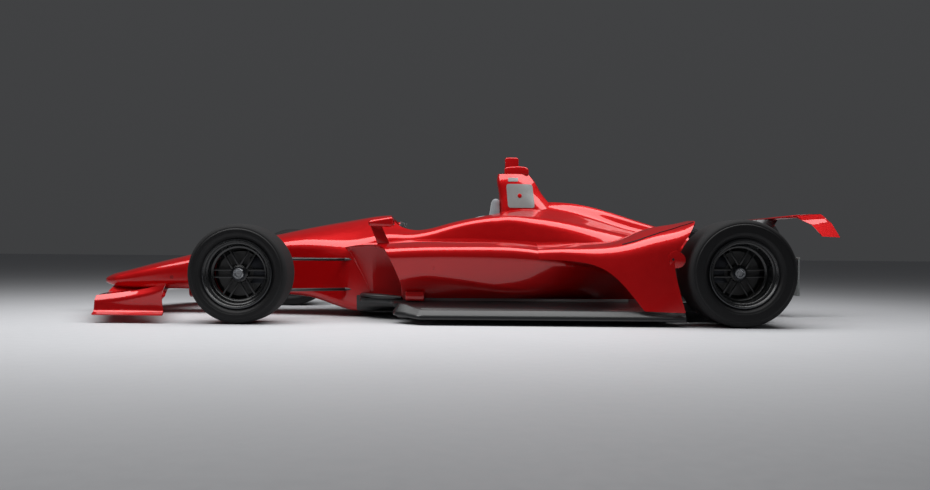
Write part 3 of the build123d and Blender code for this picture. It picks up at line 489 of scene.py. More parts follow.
# %% [markdown]
# ### Slick rubber
# A used slick is matt black. Its tread is scrubbed to a greyer, rougher skin, and its sidewall keeps fine
# rings from the steel mould. Both depend only on the distance from the axle, so the finish measures that
# distance itself: a Mapping node centres the pattern on the wheel. The rings are really 1.5 mm apart and
# are drawn at 7 mm.

# %% Tyre rubber
MOULD_RING_MM, CRUMB_MM = 7.0, 5.0


def from_axle(tree, place, hub):
    """The place seen from a wheel's centre, and its distance from the axle's line, in metres."""
    centred = node(tree, "Mapping.Vector", {"Vector": place, "Location": -Vector(hub) * MM})
    level = node(tree, "VectorMath.Vector", {0: centred, 1: (1, 0, 1)}, operation="MULTIPLY")
    return centred, node(tree, "VectorMath.Value", {0: level}, operation="LENGTH")


def slick_rubber(name, hub, radius):
    material, tree, place = finish(name, "#0D0D0D", 0.7, Specular_IOR_Level=0.3)
    centred, distance = from_axle(tree, place, hub)
    tread = {"Value": distance, "From Min": (radius - 34) * MM, "From Max": (radius - 4) * MM}
    scrubbed = node(tree, "MapRange.Result", tread, interpolation_type="SMOOTHSTEP")
    crumb = node(tree, "TexNoise.Fac", {"Vector": centred, "Scale": cells(CRUMB_MM), "Detail": 6.0})
    worn = node(tree, "Math.Value", {0: scrubbed, 1: crumb}, operation="MULTIPLY")
    tones = {"Factor": worn, "A": linear("#08080A"), "B": linear("#262627")}
    skin = node(tree, "Mix.Result", tones, data_type="RGBA")
    rough = node(tree, "MapRange.Result", {"Value": scrubbed, "To Min": 0.52, "To Max": 0.85})
    mould = {"Vector": centred, "Scale": bands(MOULD_RING_MM)}
    rings = node(tree, "TexWave.Fac", mould, wave_type="RINGS", rings_direction="Y")
    relief = node(tree, "Mix.Result", {"Factor": scrubbed, "A": rings, "B": crumb}, data_type="FLOAT")
    feed(tree, skin, rough, relief, 0.12, 0.3)
    return material


# %% [markdown]
# ### Metals
# Wheel nuts and rim lips are turned on a lathe, so they carry fine rings about their axle. Shafts and
# brackets are milled and anodised, with a faint grain one way. The gearbox and the engine are castings with
# a sandy skin and stains from heat. A metal keeps the default IOR, and its colour is that of its
# reflection. Lathe marks are 0.2 mm apart and are drawn at 3 mm, and the milled grain of 1 mm is drawn at 4
# mm, so that they show.

# %% Turned, milled and cast metal
TOOL_MARK_MM, SMUDGE_MM, GRAIN_MM, SAND_MM, HEAT_MM = 3.0, 25.0, 48.0, 2.5, 120.0


def turned_metal(name, colour, hub, roughness=0.24):
    material, tree, place = finish(name, colour, roughness, 1.0)
    centred, _ = from_axle(tree, place, hub)
    lathe = {"Vector": centred, "Scale": bands(TOOL_MARK_MM)}
    marks = node(tree, "TexWave.Fac", lathe, wave_type="RINGS", rings_direction="Y")
    smudge = node(tree, "TexNoise.Fac", {"Vector": centred, "Scale": cells(SMUDGE_MM), "Detail": 3.0})
    wander = {"Value": smudge, "To Min": roughness - 0.08, "To Max": roughness + 0.16}
    feed(tree, None, node(tree, "MapRange.Result", wander), marks, 0.06, 0.1)
    return material


def milled_metal(name, colour, roughness, stretch=(1, 12, 12), metallic=1.0):
    """The grain is long along the axis with the smallest stretch and GRAIN_MM / 12 wide across it."""
    material, tree, place = finish(name, colour, roughness, metallic)
    drawn = node(tree, "Mapping.Vector", {"Vector": place, "Scale": stretch})
    grain = node(tree, "TexNoise.Fac", {"Vector": drawn, "Scale": cells(GRAIN_MM), "Detail": 3.0})
    wander = {"Value": grain, "To Min": roughness - 0.1, "To Max": roughness + 0.14}
    feed(tree, None, node(tree, "MapRange.Result", wander), grain, 0.08, 0.1)
    return material


def cast_metal(name, colour, stain):
    material, tree, place = finish(name, colour, 0.55, 0.85)
    sand = node(tree, "TexNoise.Fac", {"Vector": place, "Scale": cells(SAND_MM), "Detail": 2.0})
    heat = node(tree, "TexNoise.Fac", {"Vector": place, "Scale": cells(HEAT_MM), "Detail": 3.0})
    tones = {"Factor": heat, "A": linear(colour), "B": linear(stain)}
    feed(tree, node(tree, "Mix.Result", tones, data_type="RGBA"), None, sand, 0.3, 0.5)
    return material


ALLOY = milled_metal("anodised_alloy", "#8F9296", 0.36)
STEEL_SHAFT = milled_metal("oiled_steel_shaft", "#5C5E60", 0.3, (12, 1, 12))
BLACK_ANODISE = milled_metal("black_anodised_alloy", "#1A1C22", 0.4, (4, 4, 4), 0.6)
CASTING = cast_metal("sand_cast_magnesium", "#6F6C66", "#57524B")
ENGINE_CASTING = cast_metal("sand_cast_aluminium", "#85868A", "#6C6A66")

# %% [markdown]
# ### Stove enamel, brake carbon and radiator core
# The rims are sprayed and baked: black, half gloss, with a fine powder grain. The brake discs are sintered
# carbon, dark grey, with rings worn in by the pads. The radiators are stacks of black fins, seen deep
# inside the ducts. Their fins are 2 mm apart and are drawn at 6 mm.

# %% Rim, brake and radiator
POWDER_MM, BRAKE_DUST_MM, WEAR_RING_MM, FIN_MM = 2.0, 60.0, 5.0, 6.0


def stove_enamel(name, colour, roughness):
    material, tree, place = finish(name, colour, roughness, Coat_Weight=0.25, Coat_Roughness=0.2)
    grain = node(tree, "TexNoise.Fac", {"Vector": place, "Scale": cells(POWDER_MM), "Detail": 1.0})
    dust = node(tree, "TexNoise.Fac", {"Vector": place, "Scale": cells(BRAKE_DUST_MM), "Detail": 2.0})
    wander = {"Value": dust, "To Min": roughness - 0.05, "To Max": roughness + 0.1}
    feed(tree, None, node(tree, "MapRange.Result", wander), grain, 0.03, 0.1)
    return material


def brake_carbon(name, hub):
    material, tree, place = finish(name, "#29292A", 0.5, Specular_IOR_Level=0.6)
    centred, _ = from_axle(tree, place, hub)
    pads = {"Vector": centred, "Scale": bands(WEAR_RING_MM), "Distortion": 0.6}
    wear = node(tree, "TexWave.Fac", pads, wave_type="RINGS", rings_direction="Y")
    tones = {"Factor": wear, "A": linear("#202021"), "B": linear("#3B3A39")}
    feed(tree, node(tree, "Mix.Result", tones, data_type="RGBA"), None, wear, 0.15, 0.2)
    return material


def finned_core(name):
    material, tree, place = finish(name, "#131416", 0.45, 0.4)
    fins = node(tree, "TexWave.Fac", {"Vector": place, "Scale": bands(FIN_MM)}, bands_direction="Z")
    tones = {"Factor": fins, "A": linear("#08080A"), "B": linear("#2E3034")}
    feed(tree, node(tree, "Mix.Result", tones, data_type="RGBA"), None, fins, 0.6, 1.5)
    return material


RIM_BLACK = stove_enamel("black_stove_enamel", "#0B0B0C", 0.38)
RIM_GREY = stove_enamel("graphite_stove_enamel", "#111213", 0.26)
FINS = finned_core("radiator_fins")

# %% [markdown]
# ### Cloth, webbing and suede
# The head rest is foam in grey fireproof cloth, the belts are woven webbing and the hand grips are
# synthetic suede. Cloth scatters light at its fibre ends, which Sheen gives, and its threads make a small
# square grain. Threads of 0.6 mm are drawn at 4 mm.

# %% Soft finishes
THREAD_MM, FADE_MM, PILE_MM, BRUSH_MM = 4.0, 60.0, 1.5, 22.0


def woven(name, dark, light, sheen, directions=("X", "Z")):
    material, tree, place = finish(name, dark, 0.9, Sheen_Weight=sheen, Sheen_Roughness=0.4)
    yarn = {"Vector": place, "Scale": bands(THREAD_MM)}
    warp, weft = [node(tree, "TexWave.Fac", yarn, bands_direction=way) for way in directions]
    threads = node(tree, "Math.Value", {0: warp, 1: weft}, operation="MULTIPLY")
    fade = node(tree, "TexNoise.Fac", {"Vector": place, "Scale": cells(FADE_MM), "Detail": 3.0})
    both = node(tree, "Math.Value", {0: threads, 1: fade}, operation="MULTIPLY")
    tones = {"Factor": both, "A": linear(dark), "B": linear(light)}
    feed(tree, node(tree, "Mix.Result", tones, data_type="RGBA"), None, threads, 0.35, 0.4)
    return material


def suede(name, colour, nap):
    material, tree, place = finish(name, colour, 0.95, Sheen_Weight=0.6, Sheen_Roughness=0.5)
    pile = node(tree, "TexNoise.Fac", {"Vector": place, "Scale": cells(PILE_MM), "Detail": 3.0})
    brushed = node(tree, "TexNoise.Fac", {"Vector": place, "Scale": cells(BRUSH_MM), "Detail": 2.0})
    tones = {"Factor": brushed, "A": linear(colour), "B": linear(nap)}
    feed(tree, node(tree, "Mix.Result", tones, data_type="RGBA"), None, pile, 0.4, 0.4)
    return material


FIRE_CLOTH = woven("grey_fireproof_cloth", "#7E8286", "#A6AAAE", 0.4)
WEBBING = woven("black_harness_webbing", "#17181B", "#34363B", 0.2, ("Y", "Z"))
GRIP = suede("charcoal_grip_suede", "#1B1B1D", "#2B2B2E")

# %% [markdown]
# ### Bare film, glass and studio floor
# The panel on each side of the roll hoop is bare grey self-adhesive film with fine wiping scratches. The
# mirrors are silvered glass with a haze of dust. The studio's floor is painted screed, which is never quite
# even.

# %% Film, glass and floor


def scuffed(name, colour, other, roughness, patch, scratch, metallic=0.0):
    """A plain surface whose tone and gloss wander in patches, with finer scratches over them."""
    material, tree, place = finish(name, colour, roughness, metallic)
    wander = node(tree, "TexNoise.Fac", {"Vector": place, "Scale": cells(patch), "Detail": 3.0})
    fine = node(tree, "TexNoise.Fac", {"Vector": place, "Scale": cells(scratch), "Detail": 5.0})
    tones = {"Factor": wander, "A": linear(colour), "B": linear(other)}
    gloss = {"Value": fine, "To Min": roughness * 0.7, "To Max": roughness * 1.4}
    tone, rough = node(tree, "Mix.Result", tones, data_type="RGBA"), node(tree, "MapRange.Result", gloss)
    feed(tree, tone, rough, fine, 0.04, 0.1)
    return material


FILM = scuffed("grey_satin_film", "#7F8382", "#777B7B", 0.42, 90, 6)
PALE_PAINT = scuffed("white_satin_paint", "#C9CACB", "#BDBEC0", 0.35, 60, 5)
GLASS = scuffed("silvered_mirror_glass", "#C4C8CC", "#B9BDC2", 0.06, 40, 8, 1.0)
STUDIO_PAINT = scuffed("studio_floor_paint", "#C4C5C8", "#BEBFC2", 0.62, 900, 60)

# %% Finishes of the CAD nodes
SLOT_FINISH = {
    "red_paint": RED, "dark_composite": CARBON, "tyre": RIM_BLACK, "rim": RIM_BLACK,
    "machined_metal": BLACK_ANODISE, "cast_metal": CASTING, "radiator_core": FINS, "grey_pad": FIRE_CLOTH,
    "seat_shell": SEAT_SHELL, "steering_grip": GRIP,
}
for part in frame["record"]["subparts"]:
    mesh = NODES[part["node"]].data
    mesh.materials.clear()
    mesh.materials.append(SLOT_FINISH[part["material_slot"]])
print("finishes:", len(bpy.data.materials), "on", len(NODES), "CAD nodes")

# %% Dressing a piece


def dress(obj, material, body, slot, *nodes):
    """Gives a piece its finish and the body it rides on, and hides the CAD nodes that it stands for. The slot
    is not used.
    """
    obj.data.materials.clear()
    obj.data.materials.append(material)
    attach(obj, body)
    if nodes:
        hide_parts(*nodes)
    return obj


def fitted(piece, material, slot, body="chassis", node_name=None):
    """Dresses a piece and its twin on the other side, each for the body and the CAD node of its own side."""
    left = other_side(piece, piece.name.replace("_right", "_left"))
    for each, side in ((piece, "_right"), (left, "_left")):
        nodes = [node_name.replace("_right", side)] if node_name else []
        dress(each, material, body.replace("_right", side), slot, *nodes)
    return piece


def repaint(obj, material, test):
    """Gives another finish to the faces whose centre, in millimetres, and normal pass a test."""
    obj.data.materials.append(material)
    last = len(obj.data.materials) - 1
    for face in obj.data.polygons:
        if test(face.center / MM, face.normal):
            face.material_index = last
    return obj


# %% [markdown]
# ## Nose and tub
# The nose cone and the tub are one flowing form: the section grows from a flat lip to the tall box that
# carries the driver. Both pieces are cut from the same table, so the joint between them runs on smoothly.

# %% Body sections
# Behind the axle, then y, z of: crown, top edge, crease, hip, side top, side bottom, keel, belly centre
BODY = [
    (-1184, 0, 240, 30, 239, 50, 237, 64, 233, 73, 225, 70, 216, 50, 208, 0, 207),
    (-1145, 0, 262, 40, 259, 72, 253, 100, 244, 113, 228, 108, 210, 86, 197, 0, 195),
    (-1062, 0, 288, 48, 284, 90, 276, 124, 260, 137, 236, 132, 208, 110, 183, 0, 180),
    (-871, 0, 339, 52, 335, 104, 323, 144, 300, 157, 268, 154, 208, 126, 174, 0, 172),
    (-619, 0, 402, 56, 398, 116, 381, 158, 355, 171, 318, 170, 208, 136, 172, 0, 170),
    (-314, 0, 478, 60, 472, 132, 451, 182, 412, 191, 352, 190, 200, 158, 166, 0, 164),
    (56, 0, 562, 75, 554, 170, 522, 222, 480, 227, 380, 226, 172, 184, 144, 0, 143),
    (339, 0, 622, 82, 613, 196, 565, 272, 494, 277, 400, 276, 150, 226, 120, 0, 119),
    (636, 0, 676, 92, 664, 208, 603, 320, 512, 350, 446, 350, 76, 322, 42, 0, 41),
    (855, 0, 704, 100, 694, 222, 616, 329, 558, 350, 500, 350, 66, 322, 41, 0, 41),
    (1003, 0, 694, 110, 672, 246, 590, 330, 560, 350, 512, 350, 64, 322, 41, 0, 41),
    (1290, 0, 700, 110, 690, 262, 646, 332, 624, 350, 528, 350, 64, 322, 41, 0, 41),
    (1586, 0, 726, 100, 722, 240, 706, 334, 682, 350, 538, 350, 64, 322, 41, 0, 41),
    (1666, 0, 742, 92, 737, 222, 716, 333, 690, 350, 540, 350, 64, 322, 41, 0, 41),
]
BODY_REACH = [70, 55, 48, 60, 46, 40]
NOSE_JOINT, TUB_END = -314, 1666


def body_piece(name, table, first, last, count):
    """A closed piece of the body between two places behind the axle."""
    rows = stations(placed(table), BODY_REACH, behind(first), behind(last), count)
    return smooth(closed(mirrored(grid(name, rows))))


nose = body_piece("nose_skin", BODY, -1184, NOSE_JOINT, 60)
tub = body_piece("tub_skin", BODY, NOSE_JOINT, TUB_END, 120)
print("nose and tub:", len(nose.data.polygons), len(tub.data.polygons), "faces")

# %% Nose tip
TIP_HALF, TIP_ROUND, TIP_SWEEP, TIP_REACH = 73, 12, 30, 150
# Seen from above the tip is round: its corners are drawn back, less and less towards the nose's middle
for vertex in nose.data.vertices:
    near = max(0, 1 - (vertex.co.x / MM - NOSE_X) / TIP_REACH)
    vertex.co.x += TIP_SWEEP * MM * near ** 1.5 * (vertex.co.y / MM / TIP_HALF) ** 2
pick(nose, lambda p: p.x < NOSE_X + 0.5 + TIP_SWEEP * (p.y / TIP_HALF) ** 2)
shape(nose, (bpy.ops.mesh.bevel, {"offset": TIP_ROUND * MM, "segments": 4, "affect": "EDGES"}))
for vertex in nose.data.vertices:
    vertex.co.x = max(vertex.co.x, NOSE_X * MM)
smooth(nose, 40)
dress(nose, RED, "chassis", "red_paint", "nose")
print("nose with its tip:", len(nose.data.polygons), "faces")

# %% Cockpit mouth and inside


def block(name, low, high):
    """A box between two corners, in millimetres, for cutting."""
    start()
    low, high = Vector(low), Vector(high)
    bpy.ops.mesh.primitive_cube_add(size=1, location=(low + high) / 2 * MM, scale=(high - low) * MM)
    return settle(named(name))


def ring_outline(half, reach):
    """A closed plan outline, mirrored across the centre line, with soft corners."""
    line = softened([(half[0][0], 0)] + half + [(half[-1][0], 0)], [reach] * len(half), 8, 2)
    points = [(x, y) for x, y in line]
    return points + [(x, -y) for x, y in reversed(points[1:-1])]


TUB_WALL, KEEL_TOP, KEEL_FRONT = 26, 150, behind(655)
# Behind the axle, half width
MOUTH = [(861, 110), (926, 205), (1086, 262), (1480, 262), (1590, 190), (1640, 110)]
UNDERSIDE = 5
inner_rows = []
for row in BODY[5:]:
    # Every y comes in by the wall, and every z goes down by it, or up from point UNDERSIDE of the section on
    ys = [max(y - TUB_WALL, 0) for y in row[1::2]]
    zs = [z + (TUB_WALL if i >= UNDERSIDE else -TUB_WALL) for i, z in enumerate(row[2::2])]
    inner_rows.append((row[0], *(value for pair in zip(ys, zs) for value in pair)))
cut(tub, body_piece("tub_inside", inner_rows, -224, 1620, 70))
cut(tub, prism("mouth_cutter", ring_outline(placed(MOUTH), 90), 420, 500))
# Two cuts that only part the faces, so that the keel under the tub can be bare laminate
for place, normal in (((0, 0, KEEL_TOP), (0, 0, 1)), ((KEEL_FRONT, 0, 0), (1, 0, 0))):
    edit(tub, (bpy.ops.mesh.bisect, {"plane_co": Vector(place) * MM, "plane_no": normal}))
smooth(tub, 30)
dress(tub, RED, "chassis", "red_paint", "tub")
repaint(tub, CARBON, lambda place, normal: place.x > KEEL_FRONT and place.z < KEEL_TOP)
print("tub with cockpit:", len(tub.data.polygons), "faces")

# %% [markdown]
# ## Engine cover
# Behind the driver the body is a thin cover: a narrow spine down the middle, a hollow flank each side and a
# hip that sinks towards the gearbox. It is laid on its own sections. The first of them lies ahead of the
# joint, within the tub's length, so that the surface leaves the tub at the same slope.

# %% Engine cover
# Behind the axle, then y, z of: crown, spine edge, spine foot, flank, hip, side top, side bottom
COVER = [
    (1500, 0, 716, 102, 711, 190, 703, 262, 692, 334, 668, 350, 536, 350, 146),
    (1666, 0, 742, 92, 737, 160, 729, 236, 714, 333, 690, 350, 540, 350, 146),
    (1840, 0, 792, 54, 778, 110, 748, 210, 714, 329, 677, 350, 530, 350, 146),
    (2050, 0, 806, 28, 788, 66, 744, 176, 698, 315, 648, 350, 512, 350, 146),
    (2256, 0, 781, 22, 762, 54, 700, 150, 656, 288, 612, 346, 484, 348, 148),
    (2487, 0, 718, 20, 700, 48, 628, 122, 598, 240, 574, 322, 450, 330, 152),
    (2737, 0, 642, 18, 630, 44, 572, 96, 552, 178, 530, 230, 482, 232, 300),
    (2987, 0, 572, 16, 562, 40, 534, 72, 522, 116, 508, 148, 482, 150, 452),
]
COVER_REACH = [20, 46, 90, 60, 60]
COVER_T, COVER_END = 6, 2987
cover_rows = stations(placed(COVER), COVER_REACH, behind(TUB_END), behind(COVER_END), 90)
cover = mirrored(grid("engine_cover_skin", cover_rows))
outward(edit(cover, (bpy.ops.mesh.remove_doubles, {"threshold": 0.0002})))
modify(cover, "SOLIDIFY", thickness=COVER_T * MM, offset=-1)
dress(smooth(cover, 35), RED, "chassis", "red_paint", "engine_cover")
print("engine cover:", len(cover.data.polygons), "faces")

# %% [markdown]
# ## Sidepods
# Each sidepod is a long duct: a raked mouth beside the driver, a broad shoulder that catches the light, and
# a side that tucks in towards the floor. It is drawn as closed sections, its front is sliced off along the
# raked plane, and a smaller copy of the same form is cut out of it for the duct.

# %% Sidepods
SIDE_Y, FLOOR_TOP = 350, 138
# Behind the axle, then y, z of: tub side, valley, shoulder in, shoulder out, widest, undercut, foot
POD = [
    (540, 318, 466, 440, 468, 620, 462, 730, 436, 752, 402, 722, 300, 640, FLOOR_TOP),
    (760, 344, 506, 450, 500, 640, 486, 760, 456, 784, 410, 746, 290, 640, FLOOR_TOP),
    (1120, 344, 534, 450, 524, 660, 510, 780, 476, 801, 420, 752, 286, 636, FLOOR_TOP),
    (1400, 344, 538, 450, 528, 666, 514, 782, 480, 803, 424, 742, 246, 630, FLOOR_TOP),
    (1737, 344, 526, 450, 520, 670, 508, 774, 472, 792, 410, 704, 190, 600, FLOOR_TOP),
    (1990, 344, 508, 430, 498, 610, 470, 714, 440, 732, 384, 640, 214, 530, FLOOR_TOP),
    (2185, 344, 470, 400, 462, 520, 436, 596, 404, 612, 350, 530, 226, 452, FLOOR_TOP),
    (2376, 344, 424, 372, 416, 424, 396, 468, 366, 480, 320, 430, 236, 392, FLOOR_TOP),
    (2549, 344, 380, 350, 376, 362, 368, 370, 346, 374, 312, 366, 236, 358, FLOOR_TOP),
]
POD_REACH = [60, 60, 60, 52, 42]


def pod_form(name, table, first, last, count):
    """A closed sidepod form; its flat side lies against the tub."""
    rows = stations(placed(table), POD_REACH, behind(first), behind(last), count)
    obj = grid(name, [row + [(row[0][0], row[0][1], row[-1][2]), row[0]] for row in rows])
    return closed(obj, 0.0004)


pod = pod_form("sidepod_skin_right", POD, 540, 2549, 110)
print("sidepod form:", len(pod.data.polygons), "faces")

# %% Mouth and duct
DUCT_WALL, DUCT_END = 12, 1320
LIP_RAKE, LIP_Z = 0.51, 480
# Plan of the mouth's edge: behind the axle, y
LIP_PLAN = [(548, 300), (586, 350), (668, 430), (770, 560), (850, 690), (873, 760), (890, 900)]
duct_table = []
for row in POD:
    # Every point comes in by the wall; the tub's side moves out by it and the foot moves up
    line = [row[0]] + [value - DUCT_WALL for value in row[1:]]
    line[1] = SIDE_Y + DUCT_WALL
    line[12], line[14] = row[12], row[14] + DUCT_WALL
    duct_table.append(tuple(line))
duct = pod_form("duct_right", duct_table, 480, DUCT_END, 50)
lip_plan = [tuple(point) for point in softened(placed(LIP_PLAN), [60] * 5, 6, 2)]
mouth_plan = [(behind(300), 300)] + lip_plan + [(behind(300), 900)]
mouth_cut = prism("mouth_cut", mouth_plan, 60, 600)
for vertex in mouth_cut.data.vertices:
    vertex.co.x += LIP_RAKE * (LIP_Z * MM - vertex.co.z)
closed(mouth_cut)
cut(pod, mouth_cut)
cut(pod, duct)
fitted(smooth(rounded(pod, 4, 3, 55), 35), RED, "red_paint", node_name="sidepod_right")
print("sidepod:", len(pod.data.polygons), "faces")

# %% [markdown]
# ## Rear wheel guards
# The shoulder of the sidepod runs on into a thin blade that climbs ahead of the rear wheel and drops a
# panel to the floor's edge. It is one shell: an open grid is cut to its side view and then given the
# thickness of the moulding.

# %% Guards
# Behind the axle, then y, z of: inner edge, crest, shoulder, outer panel, panel's bottom
GUARD = [
    (1850, 430, 506, 600, 494, 752, 458, 768, 404, 766, 380),
    (2012, 420, 512, 590, 500, 772, 466, 790, 400, 788, 340),
    (2185, 430, 510, 620, 506, 806, 470, 832, 350, 838, 240),
    (2376, 480, 526, 650, 530, 850, 496, 880, 340, 892, 80),
    (2567, 545, 598, 650, 604, 898, 548, 917, 340, 924, 80),
    (2737, 566, 628, 640, 636, 914, 598, 924, 400, 929, 80),
    (2820, 572, 646, 640, 655, 916, 652, 925, 480, 929, 80),
]
GUARD_REACH = [60, 100, 60]
# Side view of the panel: behind the axle, z
GUARD_VIEW = [
    (1850, 470), (1850, 408), (2028, 402), (2169, 384), (2262, 346), (2337, 284), (2403, 208), (2488, 97),
    (2735, 90), (2713, 166), (2678, 303), (2664, 396), (2702, 491), (2753, 560), (2806, 652), (2830, 760),
    (1850, 760),
]
GUARD_VIEW_REACH = [8, 60, 80, 50, 50, 50, 6, 6, 60, 40, 40, 40, 10, 4, 1]
GUARD_T = 9
guard_rows = stations(placed(GUARD), GUARD_REACH, behind(1850), behind(2818), 120, 9)
guard = outward(grid("wheel_guard_skin_right", guard_rows))
modify(guard, "SOLIDIFY", thickness=GUARD_T * MM, offset=1)
view_line = softened(placed(GUARD_VIEW), GUARD_VIEW_REACH, 5, 2)
cut(guard, side_plate("guard_cutter", view_line, 300, 1100), "INTERSECT")
fitted(smooth(guard, 35), RED, "red_paint", node_name="wheel_guard_right")
print("guard:", len(guard.data.polygons), "faces")

# %% [markdown]
# ## Roll hoop fairing
# The fairing behind the driver's head is a tapering fin: blunt at the front, thin at the back. Its sections
# lie level and are stacked upwards.

# %% Hoop
# Level, then front x, rear x (behind the hoop's base), half width, half width at the back
HOOP = [
    (660, -42, 470, 122, 40),
    (768, -40, 352, 112, 34),
    (878, -44, 258, 96, 30),
    (962, -56, 207, 80, 26),
    (1003, -50, 172, 62, 22),
]
HOOP_X = behind(TUB_END)
levels = np.linspace(HOOP[0][0], HOOP[-1][0], 40)
hoop_rows = []
measures = spline([row[0] for row in HOOP], [row[1:] for row in HOOP], levels)
for level, (front, rear, half, back) in zip(levels, measures):
    plan = [(front, 0), (front + 4, half * 0.7), (front + 70, half)]
    plan += [(rear - 110, half * 0.9), (rear, back * 0.8), (rear, 0)]
    hoop_rows.append([(HOOP_X + x, y, level) for x, y in softened(plan, [60, 60, 60, 20], 6, 3)])
hoop = smooth(closed(mirrored(grid("roll_hoop_skin", hoop_rows))))
dress(hoop, RED, "chassis", "red_paint", "roll_hoop")
print("roll hoop fairing:", len(hoop.data.polygons), "faces")

# %% [markdown]
# ## Tyres
# A slick is a moulded ring with a flat tread, a round shoulder and a sidewall that carries a few thin
# raised rings. Its section is drawn once and spun round the axle. The rings are steps in the section
# itself, because they catch the light in profile.

# %% Spinning a section


def turned(name, section, hub, steps):
    """Spins a closed section of (y, radius) points, in millimetres, round an axle along Y through hub."""
    start()
    bpy.ops.mesh.primitive_circle_add(vertices=len(section), radius=1)
    obj = named(name)
    points = np.array([(hub[0], hub[1] + y, hub[2] + r) for y, r in section], float)
    obj.data.vertices.foreach_set("co", points.reshape(-1) * MM)
    spin = {"steps": steps, "angle": 2 * math.pi, "center": Vector(hub) * MM, "axis": (0, 1, 0)}
    return outward(edit(
        obj,
        (bpy.ops.mesh.spin, spin),
        (bpy.ops.mesh.select_all, {"action": "SELECT"}),
        (bpy.ops.mesh.remove_doubles, {"threshold": 0.0002}),
    ))


# %% Slicks
SEAT_R, FLANGE_R, CARCASS = 190.3, 212, 18


def tyre_section(radius, width, rim_half):
    """Section of a slick: inside of the tread, sidewall, bead, outside, and the same mirrored."""
    w, h, flange = width / 2, rim_half - 11.5, FLANGE_R
    line = [
        (h, SEAT_R), (h, flange - 2), (h + 4, flange + 9), (w - 7, flange + 22), (w - 2, flange + 34),
        (w - 2, flange + 35), (w, flange + 37), (w, radius - 38), (w - 2.5, radius - 33),
        (w - 5, radius - 31), (w - 6, radius - 24), (w - 12, radius - 12), (w - 26, radius - 4),
        (w - 60, radius - 0.6), (0, radius),
    ]
    outer = softened(line, [3, 6, 14, 4, 0.4, 1, 30, 2, 1.5, 9, 14, 16, 30], 4, 2)
    inner = [
        (0, radius - 16), (w - 38, radius - 16), (w - CARCASS, radius - 34), (w - CARCASS, flange + 30),
        (h - 16, flange + 12), (h - 16, SEAT_R),
    ]
    half = inner + [tuple(point) for point in outer]
    return half + [(-y, r) for y, r in reversed(half[1:-1])]


wheels = {}
for end in ("front", "rear"):
    low, high = (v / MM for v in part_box(end + "_tyre_right"))
    hub = ((low.x + high.x) / 2, (low.y + high.y) / 2, (low.z + high.z) / 2)
    rim_half = hub[1] - (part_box(end + "_rim_right")[0] / MM).y
    wheels[end] = (hub, rim_half)
    radius, width = (high.z - low.z) / 2, high.y - low.y
    section = tyre_section(radius, width, rim_half)
    tyre = smooth(turned(end + "_slick_right", section, hub, 112), 28)
    rubber = slick_rubber(end + "_slick_rubber", (hub[0], 0, hub[2]), radius)
    fitted(tyre, rubber, "tyre", end + "_wheel_right", end + "_tyre_right")
    print(end, "tyre: radius", round(radius), "width", round(width), "faces", len(tyre.data.polygons))

# %% [markdown]
# ## Rims
# A forged racing rim has a deep dish, six pairs of thin spokes and one central nut. The barrel, the hub and
# the nut are spun; a single spoke is a bar that is shaped once, and its copies are turned round the axle.

# %% Joining and turning copies


def joined(name, pieces):
    """One object out of several."""
    use(pieces[0])
    for piece in pieces[1:]:
        piece.select_set(True)
    bpy.ops.object.join()
    return named(name)


def turned_copy(obj, hub, degrees):
    """A copy with its own mesh, turned about the axle."""
    turn = {"value": math.radians(degrees), "orient_axis": "Y", "center_override": Vector(hub) * MM}
    return edit(twin_of(obj), (bpy.ops.transform.rotate, turn))


def from_hub(place, hub):
    """Distance of a place from the axle's line."""
    return math.hypot(place.x - hub[0], place.z - hub[2])


# %% Rims and nuts
SPOKE_GAP, SPOKE_W, SPOKE_T, SPOKE_RING_R, HUB_R = 44, 13, 18, 158, 56
SPOKE_FOOT = HUB_R - 10
SPOKE_LENGTH = SPOKE_RING_R + 8 - SPOKE_FOOT


def spoke_pair(name, hub, face):
    """Two spokes side by side, which stand up from the hub."""
    pair = []
    for side in (-1, 1):
        start()
        middle = Vector(hub)
        middle += Vector((side * SPOKE_GAP / 2, face - SPOKE_T / 2, SPOKE_FOOT + SPOKE_LENGTH / 2))
        size = Vector((SPOKE_W, SPOKE_T, SPOKE_LENGTH)) * MM
        bpy.ops.mesh.primitive_cube_add(size=1, location=middle * MM, scale=size)
        spoke = settle(named(name))
        # The inboard side is narrower, so that the spoke has a draft like a forging
        pick(spoke, lambda p: p.y < hub[1] + face - SPOKE_T / 2)
        shape(spoke, (bpy.ops.transform.resize, {"value": (0.6, 1, 1), "center_override": middle * MM}))
        pair.append(modify(spoke, "BEVEL", width=0.003, segments=2))
    return joined(name + "_pair", pair)


